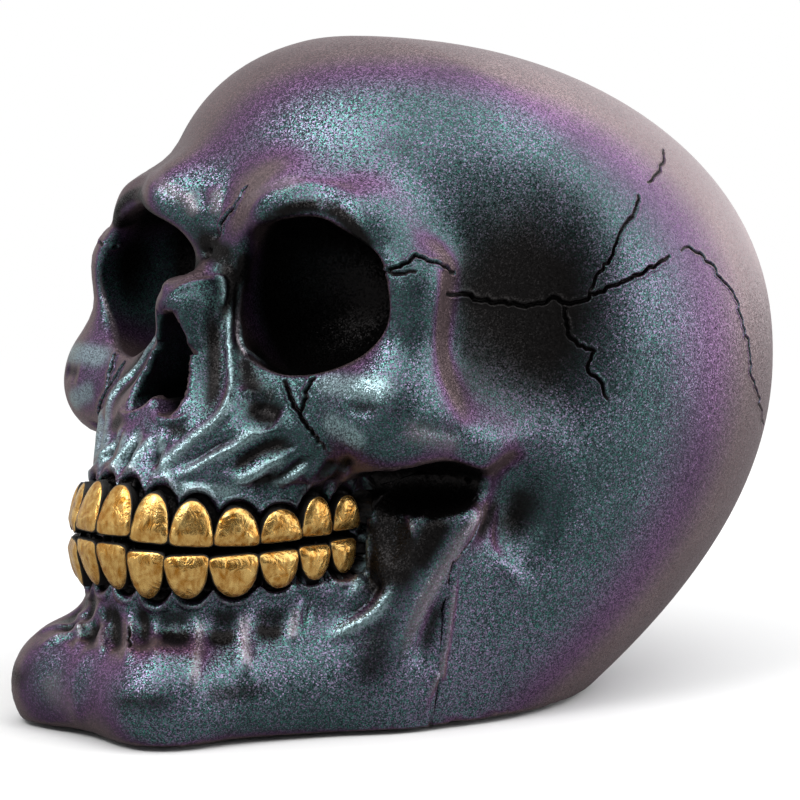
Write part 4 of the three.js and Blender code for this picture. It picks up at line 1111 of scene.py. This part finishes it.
@dataclass
class Tooth:
    """One tooth in gold leaf: a rounded block with a full face, a narrow root and a worn biting edge."""

    node: str
    arch: DentalArch
    origin_y: float
    proud: float = 2.2
    depth: float = 6.0
    space: float = 0.45
    wedge: float = 0.4
    bite_squareness: float = 6.0
    root_squareness: float = 2.3
    play: float = 4.0
    bite_turn: tuple = (-0.5, 0.4)
    face_round: float = 0.5
    edge_round: float = 0.45
    groove_place: tuple = (-0.66, 0.09)
    groove_depth: float = 0.1
    # Painted shade in the groove above the biting edge.
    groove_shade: float = 0.35
    wear_start: float = 0.45
    wear_depth: float = 0.45
    outline_start: float = 0.86
    side_fade: tuple = (0.6, 0.9)
    cuts: int = 15

    def measures(self) -> tuple[float, float, float, float, float]:
        """Angle round the arch, spread, height that shows, direction to the root and side of the face."""
        _, row, side, number = self.node.split("_")
        to_root, *lists = self.arch.row(Row(row))
        angle, spread, height = (values[int(number) - 1] for values in lists)
        return angle, spread, height, to_root, 1.0 if side == "left" else -1.0

    def build(self) -> bpy.types.Mesh:
        """Shapes the tooth from a divided cube and puts it in its place.

        Returns:
            The mesh, with its black outline and the painted shade of its groove stored as a vertex number.
        """
        bm = bmesh.new()
        bmesh.ops.create_cube(bm, size=2.0)
        bmesh.ops.subdivide_edges(bm, edges=bm.edges, cuts=self.cuts, use_grid_fill=True)
        mesh = bpy.data.meshes.new(self.node)
        bm.to_mesh(mesh)
        bm.free()
        local = mesh_points(mesh) * MM
        angle, spread, height, to_root, side = self.measures()
        tall = height + self.arch.root_cover
        points, dark = self.shape(local, angle, spread, tall)
        point, outward = self.arch.place(side * angle)
        lean = self.arch.upper_lean if to_root > 0.0 else self.arch.lower_lean
        points[:, 1] -= lean * math.cos(math.radians(angle)) * abs(outward[1]) * (points[:, 2] + tall / 2.0)
        across = np.array((-outward[1], outward[0]))
        middle = self.arch.bite(np.array(angle)) + to_root * (self.arch.bite_gap + tall) / 2.0
        plan = point + outward * (self.proud - self.depth / 2.0)
        placed = np.empty_like(points)
        placed[:, :2] = plan + points[:, :1] * across + points[:, 1:2] * outward
        placed[:, 1] += self.origin_y
        placed[:, 2] = middle + points[:, 2] * to_root
        set_points(mesh, placed)
        if to_root > 0.0:
            mesh.flip_normals()
        set_attribute(mesh, "black_wash_and_shade", dark)
        return mesh

    def shape(
        self, cube: np.ndarray, angle: float, spread: float, tall: float,
    ) -> tuple[np.ndarray, np.ndarray]:
        """Works out the block's points and its dark outline.

        Args:
            cube: points of a cube from -1 to 1.
            angle: the tooth's angle round the arch.
            spread: its share of the arch in degrees.
            tall: its whole height.

        Returns:
            Points across, outwards and towards the root in millimetres, and dark shares from 0 to 1 of the
            black outline and the painted shade in the groove.
        """
        start, end = self.arch.place(angle - spread / 2.0)[0], self.arch.place(angle + spread / 2.0)[0]
        half = np.array(((np.linalg.norm(end - start) - self.space) / 2.0, self.depth / 2.0, tall / 2.0))
        outline = np.abs(cube[:, (0, 2)])
        ring = outline.max(axis=1)
        to_bite = 1.0 - smoothstep(*self.bite_turn, cube[:, 2])
        n = self.root_squareness + (self.bite_squareness - self.root_squareness) * to_bite
        reach = (outline[:, 0] ** n + outline[:, 1] ** n + TINY) ** (1.0 / n)
        face = cube.copy()
        face[:, (0, 2)] *= (ring / reach)[:, None]
        front = 0.5 + 0.5 * face[:, 1]
        narrow = 1.0 - self.arch.tooth_taper * face[:, 2] - self.wedge * (1.0 - front)
        groove = bell(face[:, 2], *self.groove_place)
        worn = smoothstep(self.wear_start, 1.0, -face[:, 2])
        points = face * half
        points[:, 0] *= narrow
        bulge = self.face_round * ring**2 + self.edge_round * ring**6
        points[:, 1] -= front * (bulge + self.groove_depth * groove + self.wear_depth * worn)
        tilt = math.radians(np.random.default_rng(round(angle * 10.0 + tall)).uniform(-self.play, self.play))
        across, up = points[:, 0].copy(), points[:, 2].copy()
        points[:, 0] = across * math.cos(tilt) - up * math.sin(tilt)
        points[:, 2] = across * math.sin(tilt) + up * math.cos(tilt)
        # Black paint round the outline and on the sides, and painted shade in the groove.
        dark = np.maximum(smoothstep(self.outline_start, 1.0, ring), 1.0 - smoothstep(*self.side_fade, front))
        return points, np.clip(np.maximum(dark, self.groove_shade * groove), 0.0, 1.0)

    def place(self, finish: bpy.types.Material) -> bpy.types.Object:
        """Adds the tooth to the scene in place of its solid."""
        mesh = self.build()
        mesh.polygons.foreach_set("use_smooth", np.ones(len(mesh.polygons), bool))
        mesh.materials.append(finish)
        piece = add_piece(f"{self.node}_leaf", mesh)
        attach(piece, "root")
        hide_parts(self.node)
        return piece


class Shade:
    """A shader socket with arithmetic, and a maker of the nodes round it."""

    def __init__(self, tree: bpy.types.NodeTree, socket: Any) -> None:
        """Wraps a socket or a number of a node tree."""
        self.tree = tree
        self.socket = socket

    def node(self, kind: str, settings: dict | None = None, **inputs: Any) -> bpy.types.Node:
        """Adds a node.

        Args:
            kind: the node's type.
            settings: properties that are set first.
            **inputs: values or links of its sockets, by name with _ for a space, or i and a number.

        Returns:
            The node.
        """
        made = self.tree.nodes.new(kind)
        for name, value in (settings or {}).items():
            setattr(made, name, value)
        for name, value in inputs.items():
            key = int(name[1:]) if name[0] == "i" and name[1:].isdigit() else name.replace("_", " ")
            target = made.inputs[key]
            if isinstance(value, Shade):
                self.tree.links.new(value.socket, target)
            else:
                target.default_value = value
        return made

    def out(self, kind: str, output: Any = 0, settings: dict | None = None, **inputs: Any) -> "Shade":
        """Adds a node and wraps one of its outputs."""
        return Shade(self.tree, self.node(kind, settings, **inputs).outputs[output])

    def maths(self, operation: str, *values: Any) -> "Shade":
        """Adds a Math node on values."""
        inputs = {f"i{n}": value for n, value in enumerate(values)}
        return self.out("ShaderNodeMath", 0, {"operation": operation}, **inputs)

    def noise(self, place: "Shade", scale: float, detail: float, distortion: float = 0.0) -> "Shade":
        """Adds a noise texture at a place."""
        inputs = {"Vector": place, "Scale": scale, "Detail": detail, "Distortion": distortion}
        return self.out("ShaderNodeTexNoise", 0, **inputs)

    def vector(self, operation: str, output: Any = 0, **inputs: Any) -> "Shade":
        """Adds a Vector Math node."""
        return self.out("ShaderNodeVectorMath", output, {"operation": operation}, **inputs)

    def stored(self, name: str) -> "Shade":
        """Reads the number that each vertex has under a name."""
        return self.out("ShaderNodeAttribute", "Fac", {"attribute_name": name})

    def __add__(self, other: Any) -> "Shade":
        """Sum."""
        return self.maths("ADD", self, other)

    def __radd__(self, other: Any) -> "Shade":
        """Sum with a number in front."""
        return self.maths("ADD", other, self)

    def __sub__(self, other: Any) -> "Shade":
        """Difference."""
        return self.maths("SUBTRACT", self, other)

    def __rsub__(self, other: Any) -> "Shade":
        """Difference from a number in front."""
        return self.maths("SUBTRACT", other, self)

    def __mul__(self, other: Any) -> "Shade":
        """Product."""
        return self.maths("MULTIPLY", self, other)

    def __rmul__(self, other: Any) -> "Shade":
        """Product with a number in front."""
        return self.maths("MULTIPLY", other, self)

    def __pow__(self, other: Any) -> "Shade":
        """Power."""
        return self.maths("POWER", self, other)

    def ramp(self, low: float, high: float, start: float = 0.0, end: float = 1.0) -> "Shade":
        """Smooth ramp from start to end while this value goes from low to high."""
        settings = {"interpolation_type": "SMOOTHSTEP"}
        inputs = {"i0": self, "i1": low, "i2": high, "i3": start, "i4": end}
        return self.out("ShaderNodeMapRange", 0, settings, **inputs)

    def mix(self, first: Any, second: Any) -> "Shade":
        """Colour between two colours, with this value as the share of the second."""
        settings = {"data_type": "RGBA"}
        return self.out("ShaderNodeMix", 2, settings, i0=self, i6=first, i7=second)


def new_material(name: str) -> tuple[bpy.types.Material, Shade, Shade]:
    """An empty material, a maker for its nodes and the place on the object."""
    material = bpy.data.materials.new(name)
    material.use_nodes = True
    material.node_tree.nodes.clear()
    make = Shade(material.node_tree, None)
    return material, make, make.out("ShaderNodeTexCoord", "Object")


@dataclass(frozen=True)
class FlakePaint:
    """Colour-shift paint with fine metal flake: teal in front, violet towards the edges, rubbed and with
    painted highlights on ridges, and painted shade in the hollows.
    """

    # Near black of the painted shade, and of the black wash in cracks and tooth recesses.
    hollow: tuple = (0.011, 0.01, 0.01, 1.0)
    deep_teal: tuple = (0.03, 0.046, 0.052, 1.0)
    pale_green: tuple = (0.075, 0.27, 0.225, 1.0)
    pale_lilac: tuple = (0.26, 0.205, 0.34, 1.0)
    deep_violet: tuple = (0.06, 0.036, 0.075, 1.0)
    pale_violet: tuple = (0.235, 0.125, 0.26, 1.0)
    deep_mauve: tuple = (0.13, 0.09, 0.1, 1.0)
    pale_mauve: tuple = (0.285, 0.205, 0.212, 1.0)
    # Mauve of the rubbed ridges, which also carries painted highlights and a painted reflection.
    rubbed_and_highlight: tuple = (0.36, 0.29, 0.33, 1.0)
    # Pale mint of the painted highlights on ridges.
    highlight_mint: tuple = (0.36, 0.52, 0.54, 1.0)
    flake_size: float = 0.00022
    flake_tilt: float = 0.42
    flake_power: float = 1.8
    drift_scale: float = 32.0
    drift_gain: tuple = (0.32, 0.68, 0.5, 1.5)
    drift_hue: float = 0.9
    hue_turn: tuple = (0.15, 0.85)
    cloud_scale: float = 90.0
    cloud_dark: float = 0.25
    cloud_ridge_tone: float = 0.4
    dark_turn: tuple = (0.12, 0.78)
    # Ramps of the rubbed ridges with their painted highlights, and of the mint painted highlights.
    rub_and_highlight_turn: tuple = (0.2, 1.0, 0.0, 0.75)
    highlight_turn: tuple = (0.1, 0.9, 0.0, 0.65)
    highlight_grain: tuple = (0.0, 0.4, 0.4, 1.0)
    violet_turn: tuple = (0.22, 0.46)
    mauve_turn: tuple = (0.42, 0.66)
    metallic: float = 0.9
    roughness: tuple = (0.34, 0.38, 0.42)

    def material(self) -> bpy.types.Material:
        """Makes the paint's material."""
        material, make, place = new_material("flake_paint")
        cells = make.out("ShaderNodeTexVoronoi", "Color", Vector=place, Scale=1.0 / self.flake_size)
        glint, tint = (make.out("ShaderNodeSeparateColor", channel, Color=cells) for channel in (0, 1))
        drift = make.noise(place, self.drift_scale, 2.0)
        clouds = make.noise(place, self.cloud_scale, 4.0) - 0.5
        flake = glint**self.flake_power * drift.ramp(*self.drift_gain)
        hue = (tint + (drift - 0.5) * self.drift_hue).ramp(*self.hue_turn)
        teal = hue.mix(self.pale_green, self.pale_lilac)
        # Painted shade, with the black wash of cracks and tooth recesses, broken up by the clouds.
        dark = (make.stored("black_wash_and_shade") + clouds * self.cloud_dark).ramp(*self.dark_turn)
        # Rubbed wear mixed with painted highlights and a painted reflection on ridges.
        rub_and_highlight = (make.stored("worn") + clouds * self.cloud_ridge_tone).ramp(*self.rub_and_highlight_turn)
        # Painted highlights along ridges, broken up by the clouds.
        highlight = (make.stored("painted_highlight") + clouds * self.cloud_ridge_tone).ramp(*self.highlight_turn)
        centred = make.vector("SUBTRACT", i0=cells, i1=(0.5, 0.5, 0.5))
        tilt = make.vector("SCALE", i0=centred, Scale=self.flake_tilt)
        surface = make.out("ShaderNodeNewGeometry", "Normal")
        normal = make.vector("NORMALIZE", i0=make.vector("ADD", i0=surface, i1=tilt))
        shares = (flake, highlight * flake.ramp(*self.highlight_grain), rub_and_highlight, dark, normal)
        tones = (
            (self.deep_teal, teal), (self.deep_violet, self.pale_violet), (self.deep_mauve, self.pale_mauve),
        )
        front, middle, side = (self.layer(make, shares, *pair, r) for pair, r in zip(tones, self.roughness))
        facing = make.out("ShaderNodeLayerWeight", "Facing", Blend=0.5)
        turned = make.out("ShaderNodeMixShader", 0, i0=facing.ramp(*self.violet_turn), i1=front, i2=middle)
        shift = make.out("ShaderNodeMixShader", 0, i0=facing.ramp(*self.mauve_turn), i1=turned, i2=side)
        make.node("ShaderNodeOutputMaterial", Surface=shift)
        return material

    def layer(self, make: Shade, shares: tuple, deep: tuple, pale: Any, roughness: float) -> Shade:
        """One metallic layer of the paint, with its rubbed ridges, painted highlights, and painted shade and
        black wash in the hollows.
        """
        flake, highlight, rub_and_highlight, dark, normal = shares
        # Painted highlights and rubbed wear over the flake colour, then painted shade and black wash over
        # all.
        colour = rub_and_highlight.mix(highlight.mix(flake.mix(deep, pale), self.highlight_mint), self.rubbed_and_highlight)
        inputs = {"Metallic": self.metallic, "Roughness": roughness, "Normal": normal}
        return make.out("ShaderNodeBsdfPrincipled", 0, Base_Color=dark.mix(colour, self.hollow), **inputs)


@dataclass(frozen=True)
class GoldLeaf:
    """Thin gold leaf, creased and brushed along the teeth, with a black wash round each one and painted shade
    in a groove above the bite.
    """

    bright: tuple = (1.0, 0.68, 0.24, 1.0)
    deep: tuple = (0.45, 0.18, 0.02, 1.0)
    # Near black of the wash round each tooth and of the painted shade in its groove.
    black_wash_and_shade: tuple = (0.006, 0.005, 0.004, 1.0)
    streak_stretch: tuple = (1.0, 1.0, 0.35)
    streak_scale: float = 1100.0
    crease_scale: float = 420.0
    crease_dark: float = 0.7
    dark_turn: tuple = (0.35, 0.8)
    tone_shares: tuple = (0.6, 0.7, 0.2)
    tone_turn: tuple = (0.2, 0.75)
    streak_relief: float = 0.35
    relief_depth: float = 0.0005
    metallic: float = 0.92
    wash_metallic: float = 0.7
    roughness: tuple = (0.24, 0.6)

    def material(self) -> bpy.types.Material:
        """Makes the leaf's material."""
        material, make, place = new_material("creased_gold")
        along = make.out("ShaderNodeMapping", 0, Vector=place, Scale=self.streak_stretch)
        streaks = make.noise(along, self.streak_scale, 3.0)
        creases = make.noise(place, self.crease_scale, 5.0, 1.2)
        # Black wash and painted groove shade, broken up by the creases.
        dark = (make.stored("black_wash_and_shade") + (creases - 0.5) * self.crease_dark).ramp(*self.dark_turn)
        streak_share, crease_share, less = self.tone_shares
        tone = (streaks * streak_share + creases * crease_share - less).ramp(*self.tone_turn)
        height = creases + streaks * self.streak_relief
        shader = make.out(
            "ShaderNodeBsdfPrincipled", 0, Metallic=self.metallic - dark * self.wash_metallic,
            Base_Color=dark.mix(tone.mix(self.deep, self.bright), self.black_wash_and_shade),
            Roughness=dark.ramp(0.0, 1.0, *self.roughness),
            Normal=make.out("ShaderNodeBump", 0, Strength=0.6, Distance=self.relief_depth, Height=height),
        )
        make.node("ShaderNodeOutputMaterial", Surface=shader)
        return material


@dataclass(frozen=True)
class BareResin:
    """Unpainted dark resin of the closing plate, a little mottled and pitted."""

    light: tuple = (0.035, 0.035, 0.038, 1.0)
    dark: tuple = (0.014, 0.014, 0.015, 1.0)
    mottle_scale: float = 140.0
    mottle_turn: tuple = (0.3, 0.7)
    pit_scale: float = 900.0
    pit_depth: float = 0.0002
    roughness: tuple = (0.5, 0.75)

    def material(self) -> bpy.types.Material:
        """Makes the resin's material."""
        material, make, place = new_material("bare_resin")
        mottle = make.noise(place, self.mottle_scale, 6.0)
        height = make.out("ShaderNodeTexVoronoi", 0, Vector=place, Scale=self.pit_scale) + mottle
        shader = make.out(
            "ShaderNodeBsdfPrincipled", 0,
            Base_Color=mottle.ramp(*self.mottle_turn).mix(self.dark, self.light),
            Roughness=mottle.ramp(*self.mottle_turn, *self.roughness),
            Normal=make.out("ShaderNodeBump", 0, Strength=0.3, Distance=self.pit_depth, Height=height),
        )
        make.node("ShaderNodeOutputMaterial", Surface=shader)
        return material


@dataclass(frozen=True)
class Felt:
    """Pressed black felt with loose fibres."""

    light: tuple = (0.03, 0.03, 0.032, 1.0)
    dark: tuple = (0.008, 0.008, 0.009, 1.0)
    fibre_scale: float = 2200.0
    fibre_turn: tuple = (0.35, 0.65)
    fibre_depth: float = 0.0003
    roughness: float = 0.95
    sheen: float = 0.4

    def material(self) -> bpy.types.Material:
        """Makes the felt's material."""
        material, make, place = new_material("felt")
        fibres = make.noise(place, self.fibre_scale, 4.0, 2.0)
        shader = make.out(
            "ShaderNodeBsdfPrincipled", 0,
            Base_Color=fibres.ramp(*self.fibre_turn).mix(self.dark, self.light),
            Roughness=self.roughness, Sheen_Weight=self.sheen,
            Normal=make.out("ShaderNodeBump", 0, Strength=0.6, Distance=self.fibre_depth, Height=fibres),
        )
        make.node("ShaderNodeOutputMaterial", Surface=shader)
        return material


@dataclass(frozen=True)
class SoftLight:
    """A round soft light, in metres and watts."""

    name: str
    place: tuple
    size: float
    energy: float

    def add(self, target: Vector) -> None:
        """Adds the light, facing a target."""
        data = bpy.data.lights.new(self.name, "AREA")
        data.shape, data.size, data.energy = "DISK", self.size, self.energy
        light = bpy.data.objects.new(self.name, data)
        light.location = self.place
        light.rotation_euler = (target - Vector(self.place)).to_track_quat("-Z", "Y").to_euler()
        bpy.context.scene.collection.objects.link(light)


@dataclass(frozen=True)
class Studio:
    """Pale floor, bright surroundings with a dark card beside the camera, and two soft lights."""

    view: PhotoView
    floor_size: float = 8.0
    floor_tone: tuple = (0.85, 0.85, 0.85, 1.0)
    floor_reflected: tuple = (0.28, 0.28, 0.28, 1.0)
    floor_roughness: float = 0.8
    floor_fade: tuple = (0.12, 0.6)
    left_glow: float = 0.66
    right_glow: float = 2.7
    glow_turn: tuple = (-0.2, 0.8)
    dark_glow: float = 0.03
    card_way: tuple = (0.85, -0.52, 0.08)
    card_edge: tuple = (0.5, 0.95)
    lights: tuple[SoftLight, ...] = (
        SoftLight("overhead", (0.1, -0.15, 0.85), 1.0, 2.1),
        SoftLight("front_fill", (0.05, -0.62, 0.72), 0.5, 3.6),
    )

    def build(self) -> None:
        """Adds the floor, the surroundings and the lights."""
        bm = bmesh.new()
        bmesh.ops.create_grid(bm, x_segments=1, y_segments=1, size=self.floor_size / 2.0)
        mesh = bpy.data.meshes.new("floor")
        bm.to_mesh(mesh)
        bm.free()
        floor = add_piece("floor", mesh)
        mesh.materials.append(self.floor_material())
        floor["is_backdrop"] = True
        self.surroundings()
        for light in self.lights:
            light.add(self.view.target)

    def floor_material(self) -> bpy.types.Material:
        """Pale and matt near the ornament, plain white far away, and darker in reflections."""
        material, make, place = new_material("pale_floor")
        away = make.vector("LENGTH", "Value", i0=place)
        tone = make.out("ShaderNodeLightPath", "Is Glossy Ray").mix(self.floor_tone, self.floor_reflected)
        shader = make.out("ShaderNodeBsdfPrincipled", 0, Base_Color=tone, Roughness=self.floor_roughness)
        white = make.out("ShaderNodeEmission", 0, Color=WHITE, Strength=1.0)
        share = away.ramp(*self.floor_fade) * make.out("ShaderNodeLightPath", "Is Camera Ray")
        fade = make.out("ShaderNodeMixShader", 0, i0=share, i1=shader, i2=white)
        make.node("ShaderNodeOutputMaterial", Surface=fade)
        return material

    def surroundings(self) -> None:
        """Bright all round, more so on the right, with a dark card beside the camera."""
        world = bpy.data.worlds.new("studio")
        world.use_nodes = True
        tree = world.node_tree
        make = Shade(tree, None)
        way = make.out("ShaderNodeTexCoord", "Generated")
        card = make.vector("DOT_PRODUCT", "Value", i0=way, i1=self.card_way)
        right = make.vector("DOT_PRODUCT", "Value", i0=way, i1=tuple(self.view.axes()[0]))
        seen = make.out("ShaderNodeLightPath", "Is Camera Ray")
        glow = right.ramp(*self.glow_turn, self.left_glow, self.right_glow)
        shaded = card.ramp(*self.card_edge)
        lit = glow * (1.0 - shaded) + self.dark_glow * shaded
        strength = seen + (1.0 - seen) * lit
        background = tree.nodes["Background"]
        tree.links.new(strength.socket, background.inputs["Strength"])
        background.inputs["Color"].default_value = WHITE
        bpy.context.scene.world = world
        bpy.context.scene.view_settings.view_transform = "Standard"


def dress_underside() -> None:
    """Gives the closing plate and the felt pads, which stay as packed, their materials."""
    resin, felt = BareResin().material(), Felt().material()
    for name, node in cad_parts.items():
        finish = resin if name == "base_plate" else felt if name.startswith("felt_pad") else None
        if finish is not None:
            node.data.materials.clear()
            node.data.materials.append(finish)
            LOG.info("%s is dressed", name)


def main() -> None:
    """Builds every piece in order and reports it."""
    logging.basicConfig(level=logging.INFO, format="%(message)s")
    solid_box = [list(corner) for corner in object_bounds()]
    view = PhotoView()
    view.place_camera()
    pad_low, pad_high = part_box("felt_pad_rear_left")
    form = SkullForm(origin_y=(pad_low[1] + pad_high[1]) / 2.0 / MM - PAD_BEHIND_ORIGIN)
    teeth = [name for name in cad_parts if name.startswith("tooth_")]
    skull = Casting("skull_shell", [name for name in teeth if "upper" in name], voxel=2.05)
    jaw = Casting("lower_jaw", [name for name in teeth if "lower" in name], voxel=1.7)
    for casting in (skull, jaw):
        casting.start()
    both = bmesh.new()
    both.from_mesh(skull.mesh)
    both.from_mesh(jaw.mesh)
    tree = BVHTree.FromBMesh(both)
    both.free()
    sculptor = Sculptor(form, view, np.array(solid_box) / MM)
    sculptor.lay(STROKES, tree)
    paint = FlakePaint().material()
    for casting in (skull, jaw):
        casting.refine(sculptor)
        casting.sculpt(sculptor)
        piece = casting.place(paint)
        LOG.info("%s has %d faces", piece.name, len(piece.data.polygons))
    leaf = GoldLeaf().material()
    for name in teeth:
        piece = Tooth(name, form.arch, form.origin_y).place(leaf)
        LOG.info("%s has %d faces", piece.name, len(piece.data.polygons))
    dress_underside()
    Studio(view).build()


if __name__ == "__main__":
    main()
